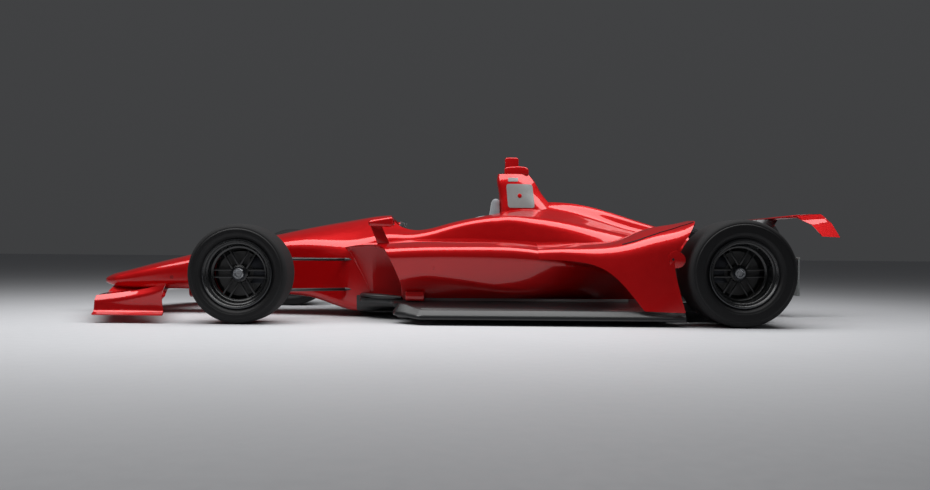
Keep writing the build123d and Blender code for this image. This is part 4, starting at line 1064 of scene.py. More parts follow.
def rim_skin(name, hub, rim_half, face):
    """Barrel with its dish, spokes and hub of a right hand wheel."""
    h, s = rim_half, SEAT_R - 0.3
    dish = [
        (h, FLANGE_R - 5), (h - 10, FLANGE_R - 13), (h - 20, s - 10), (face + 20, s - 14), (face + 6, s - 20),
        (face, SPOKE_RING_R),
    ]
    dish = [tuple(point) for point in softened(dish, [5, 8, 14, 14], 4, 2)]
    back = [
        (face - SPOKE_T, SPOKE_RING_R), (face - SPOKE_T, s - 9), (-h + 5, s - 9), (-h, FLANGE_R - 3),
        (-h, FLANGE_R), (-h + 8, FLANGE_R),
    ]
    seat = [(-h + 11, s), (h - 11, s), (h - 9, FLANGE_R - 2), (h - 5, FLANGE_R), (h - 1, FLANGE_R)]
    barrel = turned(name + "_barrel", dish + back + seat, hub, 112)
    bell = [
        (-34, 25), (-34, HUB_R - 10), (0, HUB_R - 10), (6, HUB_R), (face - 16, HUB_R), (face - 4, HUB_R - 3),
        (face + 1, HUB_R - 10), (face + 3, 42), (face + 8, 38), (face + 8, 25),
    ]
    pieces = [barrel, turned(name + "_hub", bell, hub, 48)]
    pair = spoke_pair(name + "_spoke", hub, face)
    pieces += [turned_copy(pair, hub, 60 * k + 30) for k in range(6)]
    bpy.data.objects.remove(pair)
    return smooth(joined(name, pieces), 35)


def nut_skin(name, hub, face):
    """Central nut: a turned ring whose stepped face surrounds a dark bore."""
    ring = [
        (-10, 12), (-10, 34), (8, 34), (10, 42), (13, 43), (15, 36), (26, 33), (29, 30), (29, 24), (24, 21),
        (14, 19), (14, 1), (-8, 1),
    ]
    return smooth(turned(name, [(face + y, r) for y, r in ring], hub, 36), 25)


# %% Wheels on both sides
# Outer side of the spokes from the wheel's centre plane, as in the CAD rims
FACES = {"front": 70, "rear": 72}
LIP_R, NUT_FLANGE_R, DISC_R, DISC_T, DUCT_RING_R = 209, 35.5, 139, 30, 177
DISC = [
    (0, HUB_R - 12), (0, DISC_R - 1), (2, DISC_R), (DISC_T - 2, DISC_R), (DISC_T, DISC_R - 1),
    (DISC_T, HUB_R - 12),
]
# Brake duct: a carbon ring round the backplate that closes the wheel up to its barrel
DUCT_RING = [
    (-46, 150), (-38, 150), (-38, DUCT_RING_R), (-60, DUCT_RING_R), (-60, DUCT_RING_R - 3),
    (-46, DUCT_RING_R - 3),
]
for end in ("front", "rear"):
    hub, rim_half = wheels[end]
    face, axle = FACES[end], (hub[0], 0, hub[2])
    rim = rim_skin(end + "_forged_rim_right", hub, rim_half, face)
    nut = nut_skin(end + "_wheel_nut_right", hub, face)
    disc = smooth(turned(end + "_brake_disc_right", DISC, hub, 72), 30)
    nut_metal = turned_metal(end + "_turned_wheel_nut", "#B4B6B9", axle)
    wheel_parts = [(rim, RIM_BLACK, "rim"), (nut, nut_metal, "machined_metal")]
    wheel_parts.append((disc, brake_carbon(end + "_disc", axle), "cast_metal"))
    for piece, material, slot in wheel_parts:
        dress(piece, material, end + "_wheel_right", slot, end + "_rim_right")
    repaint(rim, RIM_GREY, lambda p, n: from_hub(p, hub) > SPOKE_RING_R + 4 and p.y > hub[1] + face - 2)
    lip_metal = turned_metal(end + "_turned_rim_lip", "#4C4D4F", axle, 0.34)
    repaint(rim, lip_metal, lambda p, n: from_hub(p, hub) > LIP_R and p.y > hub[1])
    repaint(nut, BLACK_ANODISE, lambda p, n: from_hub(p, hub) > NUT_FLANGE_R)
    for piece, _, slot in wheel_parts:
        left = other_side(piece, piece.name.replace("_right", "_left"))
        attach(left, end + "_wheel_left")
        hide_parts(end + "_rim_left")
    duct_ring = smooth(turned(end + "_brake_duct_right", DUCT_RING, hub, 72), 30)
    carrier = {"front": "front_upright_right", "rear": "chassis"}[end]
    fitted(duct_ring, CARBON, "dark_composite", carrier)
    print(end, "rim:", len(rim.data.polygons), "faces; nut:", len(nut.data.polygons))

# %% [markdown]
# ## Front wing
# Low-drag oval trim: a thin main plane hangs on two short pylons under the nose, and each end has a plate
# whose top edge rolls outwards and whose foot flares into a flat lip.

# %% Main plane and pylons
WING_HALF, WING_T = 900, 22
# Half span, leading edge behind the nose tip and its z, trailing edge and its z
FRONT_WING = [
    (0, 40, 138, 440, 166),
    (120, 44, 138, 450, 166),
    (520, 150, 136, 600, 158),
    (WING_HALF, 300, 134, 712, 148),
]


def wing_rows(table, count, thick, points=14):
    """Rows of a wing section, from the trailing edge over the top to the leading edge and back underneath."""
    span = np.linspace(0, WING_HALF, count)
    values = spline([row[0] for row in table], [row[1:] for row in table], span)
    rows = []
    for y, (x0, z0, x1, z1) in zip(span, values):
        row = []
        for side, share, steps in ((1, 0.24, range(points + 1)), (-1, 0.5, range(points - 1, -1, -1))):
            for k in steps:
                s = (1 + math.cos(math.pi * k / points)) / 2
                body = 2.9 * math.sqrt(max(s, 0)) * (1 - s) + 0.25 * s * (1 - s)
                depth = thick * share * body + 2.0 * s
                row.append((NOSE_X + x0 + s * (x1 - x0), y, z0 + s * (z1 - z0) + side * depth))
        rows.append(row)
    return rows


main_plane = grid("front_main_plane", wing_rows(FRONT_WING, 40, WING_T))
main_plane = smooth(closed(mirrored(main_plane)), 40)
dress(main_plane, RED, "chassis", "red_paint", "front_wing")
print("main plane:", len(main_plane.data.polygons), "faces")

# %% Pylons
# Side view: behind the nose tip, z
PYLON_VIEW = [(0, 0), (60, 146), (84, 190), (130, 236), (330, 236), (318, 178), (300, 156), (0, 0)]
PYLON_IN, PYLON_OUT, PYLON_FLARE = 50, 86, 182
pylon_view = softened(PYLON_VIEW, [1, 30, 30, 8, 30, 8], 5, 2)[3:-3]
pylon_view = [(NOSE_X + x, z) for x, z in pylon_view]
wing_pylon = side_plate("front_wing_pylon_right", pylon_view, PYLON_IN, PYLON_OUT)
# Its foot flares out into the wing: at 45 degrees on the outside, half as much on the inside
flare_line = {"plane_co": Vector((0, 0, PYLON_FLARE)) * MM, "plane_no": (0, 0, 1)}
edit(wing_pylon, (bpy.ops.mesh.bisect, flare_line))
for vertex in wing_pylon.data.vertices:
    drop = max(PYLON_FLARE * MM - vertex.co.z, 0)
    vertex.co.y += drop if vertex.co.y > (PYLON_IN + PYLON_OUT) / 2 * MM else -0.5 * drop
fitted(smooth(rounded(wing_pylon, 14, 5), 35), RED, "red_paint", node_name="front_wing")
print("pylon:", len(wing_pylon.data.polygons), "faces")

# %% Front endplates
# Behind the nose tip, then out from the wing's end and z of: top lip, roll, neck, waist, toe, foot's edge
PLATE = [
    (300, -28, 164, -24, 160, 2, 132, 5, 106, 10, 71, 44, 52),
    (480, -26, 186, -20, 180, 8, 150, 4, 110, 11, 71, 45, 52),
    (620, -14, 210, -6, 203, 22, 172, 4, 118, 12, 70, 46, 51),
    (700, 12, 228, 16, 221, 32, 190, 8, 126, 13, 70, 47, 51),
    (748, 36, 238, 38, 232, 44, 204, 12, 132, 13, 70, 47, 51),
]
PLATE_T, PLATE_REACH = 7, [14, 24, 30, 40, 12]
plate_rows = []
for row in PLATE:
    pairs = [(WING_HALF + out, z) for out, z in zip(row[1::2], row[2::2])]
    plate_rows.append((NOSE_X + row[0], *(value for pair in pairs for value in pair)))
plate_rows = stations(plate_rows, PLATE_REACH, NOSE_X + 300, NOSE_X + 746, 60)
plate = outward(grid("front_endplate_skin_right", plate_rows))
modify(plate, "SOLIDIFY", thickness=PLATE_T * MM, offset=0)
# Side view of its rear edge: behind the nose tip, z
REAR_EDGE = [(200, 20), (735, 20), (730, 60), (716, 120), (722, 180), (752, 246), (200, 246)]
rear_edge = [(NOSE_X + x, z) for x, z in softened(REAR_EDGE, [1, 20, 40, 40, 1], 6, 2)]
cut(plate, side_plate("endplate_cutter", rear_edge, 800, 1000), "INTERSECT")
fitted(smooth(plate, 40), RED, "red_paint", node_name="front_endplate_right")
print("endplate:", len(plate.data.polygons), "faces")

# %% [markdown]
# ## Parts that keep their CAD form
# Blocks, arms and brackets are right as they are, only too sharp. A copy of each is merged, its coplanar
# faces are joined and its edges are given the small radius that a casting or a moulding has.

# %% Softer copies


def refined(node_name, name, material, width):
    """A copy of a CAD node with its edges rounded, by a width in millimetres."""
    source = NODES[node_name]
    twin = bpy.data.objects.new(name, source.data.copy())
    bpy.context.scene.collection.objects.link(twin)
    twin.matrix_world = source.matrix_world
    edit(
        twin,
        (bpy.ops.mesh.remove_doubles, {"threshold": 0.00005}),
        (bpy.ops.mesh.dissolve_limited, {"angle_limit": math.radians(0.8)}),
    )
    smooth(rounded(twin, width, 2, 28), 35)
    part = next(p for p in frame["record"]["subparts"] if p["node"] == node_name)
    return dress(twin, material, source.parent.name.removeprefix("body:"), part["material_slot"], node_name)


# Node, finish, width of the rounded edges
REFINED = [
    ("rear_wing", RED, 2), ("rear_endplates", RED, 2), ("rear_wing_pylons", CARBON, 3), ("floor", CARBON, 5),
    ("crash_structure", CARBON, 5), ("gearbox", CASTING, 4), ("engine_block", ENGINE_CASTING, 5),
    ("skid_plate", CARBON, 1.5), ("radiators", FINS, 1.5),
]
WING_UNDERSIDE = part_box("rear_wing")[0].z / MM
for node_name, material, width in REFINED:
    piece = refined(node_name, node_name + "_skin", material, width)
    if node_name == "rear_wing_pylons":
        top = {"plane_co": Vector((0, 0, WING_UNDERSIDE + 1)) * MM, "plane_no": (0, 0, 1)}
        edit(piece, (bpy.ops.mesh.bisect, {**top, "clear_outer": True, "use_fill": True}))
    if node_name == "rear_endplates":
        # The rear endplates' inner faces, which look at each other, take the dark carbon: this is painted
        # shade.
        repaint(piece, CARBON, lambda place, normal: normal.y * place.y < 0 and abs(normal.y) > 0.95)
print("refined", len(REFINED), "nodes")

# %% [markdown]
# ## Small things on the skins
# Buttons, plates and trim have to lie on a curved panel, so each is placed by looking along Y at the
# finished skin and asking where that line meets it. A cover plate is the skin itself, grown by the plate's
# thickness and cut to the plate's outline, so that it follows every curve.

# %% Placing on a skin


def on_skin(skin, x, z):
    """Where a level line from the right meets a skin, in millimetres, and the skin's normal there."""
    bpy.context.view_layer.update()
    hit, place, normal, _ = skin.ray_cast(Vector((x, 2000, z)) * MM, Vector((0, -1, 0)))
    assert hit, (skin.name, x, z)
    return place / MM, normal


def button(name, place, normal, radius, height, sides=20):
    """A round button with a bevelled rim, sunk by half its height."""
    start()
    turn = normal.to_track_quat("Z", "Y").to_euler()
    size = {"vertices": sides, "radius": radius * MM, "depth": height * MM}
    bpy.ops.mesh.primitive_cylinder_add(location=place * MM, rotation=turn, **size)
    return smooth(modify(settle(named(name)), "BEVEL", width=0.25 * height * MM, segments=2), 40)


def cover_plate(name, skin, outline, corner, proud):
    """A plate on both sides of a skin, cut to a side view outline of (x, z) points."""
    plate = twin_of(skin)
    plate.name = plate.data.name = name
    edit(plate, (bpy.ops.transform.shrink_fatten, {"value": proud * MM}))
    cutter = side_plate(name + "_cutter", soft_ring(outline, corner, 5), -400, 400)
    return smooth(cut(plate, cutter, "INTERSECT"), 35)


# %% Vent, filler and hoop plates
VENT_X, VENT_Z, VENT_R = behind(-662), 254, 10
holes = []
for k in range(7):
    turn, reach = math.radians(60 * k), VENT_R if k < 6 else 0
    place = on_skin(nose, VENT_X + reach * math.cos(turn), VENT_Z + reach * math.sin(turn))
    holes.append(button("vent_hole", *place, 3.2, 1.2, 12))
# The holes are dark anodised discs: their dark colour is painted shade inside the holes.
fitted(joined("nose_vent_holes_right", holes), BLACK_ANODISE, "machined_metal")
fitted(button("sidepod_filler_right", *on_skin(pod, behind(1191), 348), 9, 3), RED, "red_paint")

HOOP_PANEL = [(338, 931), (527, 931), (541, 761), (352, 761)]
HOOP_BLANK_PLATE = [(352, 977), (424, 977), (424, 949), (352, 947)]
PLATE_PROUD = 1.6
panel = cover_plate("hoop_film_panel", hoop, HOOP_PANEL, 20, PLATE_PROUD)
dress(panel, FILM, "chassis", "grey_pad")
small_plate = cover_plate("hoop_blank_plate", hoop, HOOP_BLANK_PLATE, 5, PLATE_PROUD)
dress(small_plate, FILM, "chassis", "machined_metal")
fitted(button("hoop_valve_right", *on_skin(panel, 434, 847), 15, 4), RED, "red_paint")
print("panel faces:", len(panel.data.polygons))

# %% [markdown]
# ## Camera housing
# On top of the fairing sits a small camera in a low sprayed foot. Both are mouldings with generous edges: a
# side view outline is filled, pushed out sideways and bevelled. A round window closes the front and the back
# of the head.

# %% Camera housing
CAMERA_FOOT = [(328, 1000), (328, 1047), (352, 1056), (430, 1061), (480, 1056), (500, 1040), (502, 1000)]
CAMERA_HEAD = [(333, 1030), (331, 1112), (342, 1124), (418, 1124), (429, 1112), (427, 1030)]


def moulded(name, outline, corner, half_width, edge):
    """A moulding with one side view, symmetric about the centre line."""
    return smooth(rounded(side_plate(name, soft_ring(outline, corner), -half_width, half_width), edge, 3), 40)


camera_foot = moulded("camera_foot", CAMERA_FOOT, 9, 36, 8)
camera_head = moulded("camera_head", CAMERA_HEAD, 9, 27, 7)
dress(camera_foot, RED, "chassis", "red_paint", "camera_pod")
dress(camera_head, RED, "chassis", "red_paint", "camera_pod")
for name, x, way in (("camera_window_front", 332.6, -1), ("camera_window_rear", 427.4, 1)):
    window = button(name, Vector((x, 0, 1082)), Vector((way, 0, 0)), 15, 3, 28)
    dress(window, GLASS, "chassis", "machined_metal")
print("camera:", len(camera_head.data.polygons), "faces")

# %% [markdown]
# ## Guard trim
# A thin rubber seal runs along the guard's crest, and a small lug stands on its rear edge, with a dark
# disc on it whose colour is the painted shade of the lug's hole.
# The seal is taken from the guard's own sections, so that it lies on the surface: one narrow strip of them,
# thickened.

# %% Seal and lug
# Behind the axle, and the seal's distance from the centre line there
SEAL = [(2370, 806), (2480, 826), (2567, 828), (2737, 792), (2806, 862)]
SEAL_W, SEAL_T = 9, 24
seal_x, seal_y = [behind(x) for x, _ in SEAL], [y for _, y in SEAL]
seal_rows = []
for row in guard_rows:
    x, line = row[0][0], np.array(row)
    if seal_x[0] <= x <= seal_x[-1]:
        middle = np.interp(x, seal_x, seal_y)
        spots = np.linspace(middle - SEAL_W / 2, middle + SEAL_W / 2, 4)
        seal_rows.append([(x, y, np.interp(y, line[:, 1], line[:, 2])) for y in spots])
seal = outward(grid("guard_seal_right", seal_rows))
modify(seal, "SOLIDIFY", thickness=SEAL_T * MM, offset=0)
fitted(smooth(seal, 40), BLACK_ANODISE, "dark_composite")

LUG = [(1296, 452), (1340, 474), (1392, 444), (1402, 404), (1376, 368), (1334, 360), (1300, 380)]
lug = rounded(side_plate("guard_lug_right", soft_ring(LUG, 18), 908, 929), 3)
fitted(smooth(lug, 40), RED, "red_paint")
# A dark disc on the lug paints the shade in its hole.
lug_hole_disc = button("guard_lug_bolt_right", Vector((1322, 929, 417)), Vector((0, 1, 0)), 8, 4)
fitted(lug_hole_disc, BLACK_ANODISE, "machined_metal")
print("seal and lug:", len(seal.data.polygons), len(lug.data.polygons), "faces")

# %% [markdown]
# ## Head surround
# Foam blocks in grey fireproof cloth wrap the driver's head: a horseshoe along the mouth's edge and a pad
# against the hoop. Foam in a tight cover swells between its edges, which is what a little air pressure does
# to a cloth simulation, so each block is remeshed evenly, smoothed, blown up under a cap, and smoothed
# again.

# %% Padding
VOXEL_MM, PRESSURE, FRAMES, SHRINK_MM = 6, 4, 20, 5


def swollen(obj, cap):
    """Blows a pad up like foam in a cover; no point moves further than the cap, in millimetres."""
    edit(obj, (bpy.ops.transform.shrink_fatten, {"value": -SHRINK_MM * MM}))
    modify(obj, "REMESH", mode="VOXEL", voxel_size=VOXEL_MM * MM)
    modify(obj, "SMOOTH", factor=0.5, iterations=8)
    before = np.empty(len(obj.data.vertices) * 3)
    obj.data.vertices.foreach_get("co", before)
    use(obj)
    cloth = obj.modifiers.new("cover", "CLOTH")
    cloth.settings.use_pressure = True
    cloth.settings.uniform_pressure_force = PRESSURE
    cloth.settings.effector_weights.gravity = 0
    for frame_number in range(1, FRAMES + 1):
        bpy.context.scene.frame_set(frame_number)
    bpy.ops.object.modifier_apply(modifier="cover")
    after = np.empty_like(before)
    obj.data.vertices.foreach_get("co", after)
    move = (after - before).reshape(-1, 3)
    length = np.linalg.norm(move, axis=1, keepdims=True)
    move *= np.minimum(1, cap * MM / np.maximum(length, 1e-9))
    obj.data.vertices.foreach_set("co", before + move.reshape(-1))
    obj.data.update()
    bpy.context.scene.frame_set(1)
    modify(obj, "SMOOTH", factor=0.5, iterations=26)
    modify(obj, "SUBSURF", levels=1, render_levels=1)
    return smooth(obj, 60)


# Side view of the pad against the hoop: it leans back with the hoop's front edge
HEAD_PAD = [(218, 676), (242, 830), (290, 834), (296, 676)]
PAD_CAP, PAD_FILL = 6, 0.8
pads = twin_of(NODES["head_surround"])
pads.parent = None
loose = (bpy.ops.mesh.separate, {"type": "LOOSE"})
edit(pads, (bpy.ops.mesh.remove_doubles, {"threshold": 0.00005}), loose)
blocks = bpy.context.selected_objects
small, horseshoe = sorted(blocks, key=lambda obj: max(vertex.co.y for vertex in obj.data.vertices))
bpy.data.objects.remove(small)
head_pad = moulded("hoop_head_pad", HEAD_PAD, 10, 100, 6)
for pad, name in ((horseshoe, "mouth_surround_pad"), (head_pad, "hoop_head_pad")):
    pad.name = pad.data.name = name
    swollen(pad, PAD_CAP)
    dress(pad, FIRE_CLOTH, "chassis", "grey_pad", "head_surround")
    print(name, len(pad.data.polygons), "faces")

# %% [markdown]
# ## Seat and belts
# The seat is a thin moulded shell: its middle follows the driver's back, and its sides roll up into
# bolsters. It is one grid, raised towards its edges and given a wall. The belts are flat webbing laid a few
# millimetres over it.

# %% Seat shell
SEAT_WALL, SEAT_HALF, BOLSTER = 12, 218, 92
# Down the middle of the seat: x, z, and the share of the bolster that stands up there
SEAT_LINE = [
    (-392, 158, 0.35), (-300, 132, 0.6), (-160, 108, 1.0), (-60, 120, 1.1), (20, 190, 1.1), (90, 330, 0.9),
    (150, 460, 0.6), (196, 560, 0.25),
]


def seat_place(t, y):
    """A point of the seat's surface: t runs from the thighs to the shoulders, y across."""
    line = np.array(SEAT_LINE, float)
    x, z, rise = spline(np.arange(len(line)), line, np.array([t * (len(line) - 1)]))[0]
    lift = BOLSTER * rise * (abs(y) / SEAT_HALF) ** 3.2
    lean = min(max((t - 0.5) * 2.4, 0), 1)
    return x - lean * lift, y, z + (1 - lean) * lift


across = np.linspace(-SEAT_HALF, SEAT_HALF, 41)
seat = outward(grid("seat_shell", [[seat_place(t, y) for y in across] for t in np.linspace(0, 1, 60)]))
modify(seat, "SOLIDIFY", thickness=SEAT_WALL * MM, offset=1)
dress(smooth(rounded(seat, 4), 40), SEAT_SHELL, "chassis", "seat_shell", "seat")
print("seat:", len(seat.data.polygons), "faces")

# %% Belts and buckle
BELT_W, BELT_T, BELT_GAP = 46, 3, 16


def belt(name, path):
    """A flat strap over the seat along a path of (t, y); its width lies across the path."""
    spots = spline(np.arange(len(path)), np.array(path, float), np.linspace(0, len(path) - 1, 36))
    rows = []
    for i, (t, y) in enumerate(spots):
        ahead, back = spots[min(i + 1, len(spots) - 1)], spots[max(i - 1, 0)]
        here = Vector(seat_place(t, y))
        run = Vector(seat_place(*ahead)) - Vector(seat_place(*back))
        over = Vector(seat_place(t, y + 4)) - Vector(seat_place(t, y - 4))
        normal = over.cross(run).normalized()
        if normal.z < 0 and normal.x > 0:
            normal = -normal
        side = run.cross(normal).normalized()
        rows.append([here + normal * BELT_GAP + side * BELT_W * w for w in (-0.5, -0.25, 0, 0.25, 0.5)])
    strap = outward(grid(name, rows))
    modify(strap, "SOLIDIFY", thickness=BELT_T * MM, offset=0)
    return smooth(strap, 40)


for name, path in (
    ("shoulder_belt_right", [(0.97, 92), (0.8, 84), (0.62, 60), (0.47, 26)]),
    ("lap_belt_right", [(0.44, 188), (0.43, 120), (0.44, 30)]),
):
    fitted(belt(name, path), WEBBING, "seat_shell")
buckle_place = Vector(seat_place(0.45, 0)) + Vector((-14, 0, 18))
buckle = button("belt_buckle", buckle_place, Vector((-0.5, 0, 1)), 30, 16, 32)
dress(buckle, ALLOY, "chassis", "machined_metal")
print("belts on the seat, buckle at", [round(value) for value in buckle_place])

# %% [markdown]
# ## Steering wheel
# A racing hand wheel is a flat plate with a cut-away rim: two suede grips, a blank display and a few round
# buttons. It is modelled upright about its own centre and then leaned back with its column.

# %% Hand wheel plate and grips
HAND_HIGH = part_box("steering_wheel")[1] / MM
HAND_CENTRE, HAND_LEAN, HAND_T = Vector((HAND_HIGH.x - 33, 0, 596)), 14, 16
# Outline of the right half, seen by the driver: y, z
PLATE_HALF = [(50, 64), (86, 58), (104, 20), (104, -30), (74, -58), (34, -44)]


def leaned(obj):
    """Leans a piece made about the hand wheel's centre, whose face looks along +X, back with the column."""
    obj.rotation_euler = (0, math.radians(HAND_LEAN), 0)
    obj.location = HAND_CENTRE * MM
    return settle(obj)


line = softened([(-50, 64)] + PLATE_HALF + [(0, -46)], [12] * 6, 4, 2)
half = [(y, z) for y, z in line if y > 0]
outline = half + [(-y, z) for y, z in reversed(half)]
hand_plate = extruded("hand_wheel_plate", [(-HAND_T / 2, y, z) for y, z in outline], (HAND_T, 0, 0))
hand_plate = smooth(leaned(rounded(hand_plate, 3)), 40)
dress(hand_plate, CARBON, "hand_wheel", "steering_grip", "steering_wheel")
GRIP_R, GRIP_HALF, GRIP_Y = 17, 59, 113
for side, name in ((1, "hand_grip_right"), (-1, "hand_grip_left")):
    start()
    size = {"vertices": 20, "radius": GRIP_R * MM, "depth": 2 * GRIP_HALF * MM}
    bpy.ops.mesh.primitive_cylinder_add(location=(0, side * GRIP_Y * MM, -2 * MM), **size)
    grip = settle(named(name))
    edit(grip, (bpy.ops.mesh.subdivide, {"number_cuts": 7}))
    # It bows outwards in its middle and waves a little for the fingers
    for vertex in grip.data.vertices:
        level = vertex.co.z / (GRIP_HALF * MM)
        vertex.co.y += side * 12 * MM * (0.4 - level * level)
        vertex.co.x += 3 * MM * math.cos(level * 9)
    dress(smooth(leaned(rounded(grip, 6, 3)), 60), GRIP, "hand_wheel", "steering_grip", "steering_wheel")
print("hand wheel plate:", len(hand_plate.data.polygons), "faces, grip:", len(grip.data.polygons))

# %% Display, knobs and column
DISPLAY_AT, DISPLAY_SIZE = Vector((9.5, 0, 22)), Vector((6, 92, 48))
KNOBS = [(-72, 34), (-72, 8), (-66, -22), (72, 34), (72, 8), (66, -22), (-30, -24), (0, -26), (30, -24)]
start()
bpy.ops.mesh.primitive_cube_add(size=1, location=DISPLAY_AT * MM, scale=DISPLAY_SIZE * MM)
display = modify(settle(named("blank_display")), "BEVEL", width=0.0025, segments=2)
dress(leaned(display), GLASS, "hand_wheel", "machined_metal")
knobs = [button("knob", Vector((9, y, z)), Vector((1, 0, 0)), 7, 7, 18) for y, z in KNOBS]
dress(leaned(joined("hand_wheel_knobs", knobs)), ALLOY, "hand_wheel", "machined_metal")
shaft = refined("steering_wheel", "steering_column", BLACK_ANODISE, 1)
pick(shaft, lambda p: (p - HAND_CENTRE).length < 160)
closed(shape(shaft, (bpy.ops.mesh.delete, {"type": "VERT"})))
print("steering wheel done")

# %% [markdown]
# ## Mirrors
# Each mirror is a moulded cup, blunt in front and flat behind, with silvered glass set into its rear. It
# stands on the sidepod on a thin blade. The cup is a cube whose front is drawn in before everything is
# rounded.

# %% Mirrors
MIRROR_LOW, MIRROR_HIGH = (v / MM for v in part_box("mirrors"))
CUP_Y, CUP_W, CUP_BOTTOM, CUP_TOP, GLASS_IN = 560, 148, 604, MIRROR_HIGH.z, 7
start()
cup_size = Vector((MIRROR_HIGH.x - MIRROR_LOW.x, CUP_W, CUP_TOP - CUP_BOTTOM))
cup_centre = Vector(((MIRROR_LOW.x + MIRROR_HIGH.x) / 2, CUP_Y, (CUP_TOP + CUP_BOTTOM) / 2))
bpy.ops.mesh.primitive_cube_add(size=1, location=cup_centre * MM, scale=cup_size * MM)
cup = settle(named("mirror_cup_right"))
pick(cup, lambda p: p.x < MIRROR_LOW.x + 1)
front_pull = {"value": (1, 0.72, 0.52), "center_override": (cup_centre - Vector((0, 0, 18))) * MM}
shape(cup, (bpy.ops.transform.resize, front_pull))
rounded(cup, 26, 5, 30)
# The flat rear face is drawn in and pushed forwards, which leaves a rim round the glass
use(cup)
bpy.ops.object.mode_set(mode="EDIT")
bpy.ops.mesh.select_mode(type="FACE")
bpy.ops.mesh.select_all(action="DESELECT")
bpy.ops.object.mode_set(mode="OBJECT")
max(cup.data.polygons, key=lambda face: face.normal.x * face.area).select = True
bpy.ops.object.mode_set(mode="EDIT")
recess = (bpy.ops.mesh.extrude_region_move, {"TRANSFORM_OT_translate": {"value": (-GLASS_IN * MM, 0, 0)}})
shape(cup, (bpy.ops.mesh.inset, {"thickness": 0.006}), recess)

# %% Mirror blades and glass
BLADE = [(12, 612), (84, 616), (148, 478), (70, 470)]
blade = [(MIRROR_LOW.x + x, z) for x, z in BLADE]
blade = rounded(side_plate("mirror_blade_right", blade, CUP_Y - 6, CUP_Y + 6), 4, 3)
for piece in (cup, blade):
    fitted(smooth(piece, 40), RED, "red_paint")
    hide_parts("mirrors")
glass_low = (MIRROR_HIGH.x - GLASS_IN - 2, CUP_Y - 58, CUP_BOTTOM + 12)
glass_high = (MIRROR_HIGH.x - GLASS_IN + 1, CUP_Y + 58, CUP_TOP - 12)
mirror_glass = modify(block("mirror_glass_right", glass_low, glass_high), "BEVEL", width=0.001, segments=2)
fitted(mirror_glass, GLASS, "machined_metal")
print("mirror cup:", len(cup.data.polygons), "faces")

# %% [markdown]
# ## Floor edge and its front lip
# The floor's outer edge carries a glossy dark strip with a shoulder at 45 degrees; its faces that turn down
# are given darker carbon, which is painted shade. The strip lies in a rebate of the floor and curls up at
# its front corner. A small fillet in pale grey film, whose pale colour is a painted highlight, runs where the
# sidepod stands on the floor, a rolled lip finishes the leading edge between the tub and the corner, and a
# red clip holds the lip's outer end. Each strip is one section swept along a drawn path, and the rebate is
# cut along the strip's own path, so that the two match.

# %% Swept strips


def swept(name, path, section_of, reach=60):
    """A closed section of (across, z) points carried along a level path; across is to the path's left."""
    line = softened(path, [reach] * (len(path) - 2), 8, 4)
    rows = []
    for i, spot in enumerate(line):
        ahead, back = np.array(line[min(i + 1, len(line) - 1)]), np.array(line[max(i - 1, 0)])
        run = (ahead - back) / np.linalg.norm(ahead - back)
        side = np.array([run[1], -run[0]])
        share = i / (len(line) - 1)
        rows.append([(spot[0] + side[0] * a, spot[1] + side[1] * a, z) for a, z in section_of(share, spot)])
    strip = grid(name, [row + [row[0]] for row in rows])
    return smooth(closed(strip, 0.0003), 45)


# %% Edge strip in its rebate
EDGE_Y = (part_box("floor")[1] / MM).y
EDGE_LOW, EDGE_HIGH, EDGE_IN, EDGE_FOOT, EDGE_WALL = 37, 95, 35, 22, 14
# The curl begins so far behind the axle, takes so many millimetres, and lifts the strip's foot and shoulder
CURL_AT, CURL_LENGTH, CURL_FOOT, CURL_SHOULDER = 1120, 130, 14, 30
REBATE_OUT, REBATE_LOW, REBATE_HIGH = 60, 62, 200
EDGE_REACH = 28
edge_path = placed([(2740, EDGE_Y), (1111, EDGE_Y), (944, 800), (934, 742)])


def shoulder_section(share, spot):
    """A shoulder at 45 degrees over a short upright foot; it rises where the strip curls in at its front."""
    curl = min(max((behind(CURL_AT) - spot[0]) / CURL_LENGTH, 0), 1) ** 1.5
    low, high = EDGE_LOW + CURL_FOOT * curl, EDGE_HIGH + CURL_SHOULDER * curl
    inner = -EDGE_IN - EDGE_WALL
    corners = [(inner, low), (inner, high), (-EDGE_IN, high), (1, low + EDGE_FOOT), (2, low), (inner, low)]
    return [tuple(point) for point in softened(corners, [1, 8, 14, 3], 3, 1)][:-1]


def rebate_section(share, spot):
    """The step that is cut out of the floor's upper edge, so that the strip lies in it."""
    inner = -EDGE_IN - 2
    return [(inner, REBATE_LOW), (REBATE_OUT, REBATE_LOW), (REBATE_OUT, REBATE_HIGH), (inner, REBATE_HIGH)]


rebate = swept("floor_rebate_right", edge_path, rebate_section, EDGE_REACH)
rebate_left = other_side(rebate, "floor_rebate_left")
smooth(cut(cut(bpy.data.objects["floor_skin"], rebate), rebate_left), 40)
edge_strip = swept("floor_edge_strip_right", edge_path, shoulder_section, EDGE_REACH)
fitted(edge_strip, EDGE_STRIP, "dark_composite")
# The strip's faces that turn down take the darker carbon, so it is lighter on top and darker below: painted
# light and shade.
for name in ("floor_edge_strip_right", "floor_edge_strip_left"):
    repaint(bpy.data.objects[name], CARBON, lambda place, normal: normal.z < 0.35)
print("edge strip:", len(edge_strip.data.polygons), "faces")

# %% Foot bead, front lip and clip


def bead(share, spot):
    """A small fillet, at 45 degrees, where the sidepod stands on the floor."""
    return [(-14, 137), (-14, 153), (-2, 151), (10, 137)]


def rolled(share, spot):
    """An oval lip that is thickest in its middle."""
    reach = 9 + 9 * math.sin(math.pi * share)
    turns = [math.radians(a) for a in range(0, 360, 24)]
    return [(1.6 * reach * math.cos(t), 152 + reach * math.sin(t)) for t in turns]


bead_path = placed([(2440, 640), (1900, 652), (1150, 652), (1020, 640)])
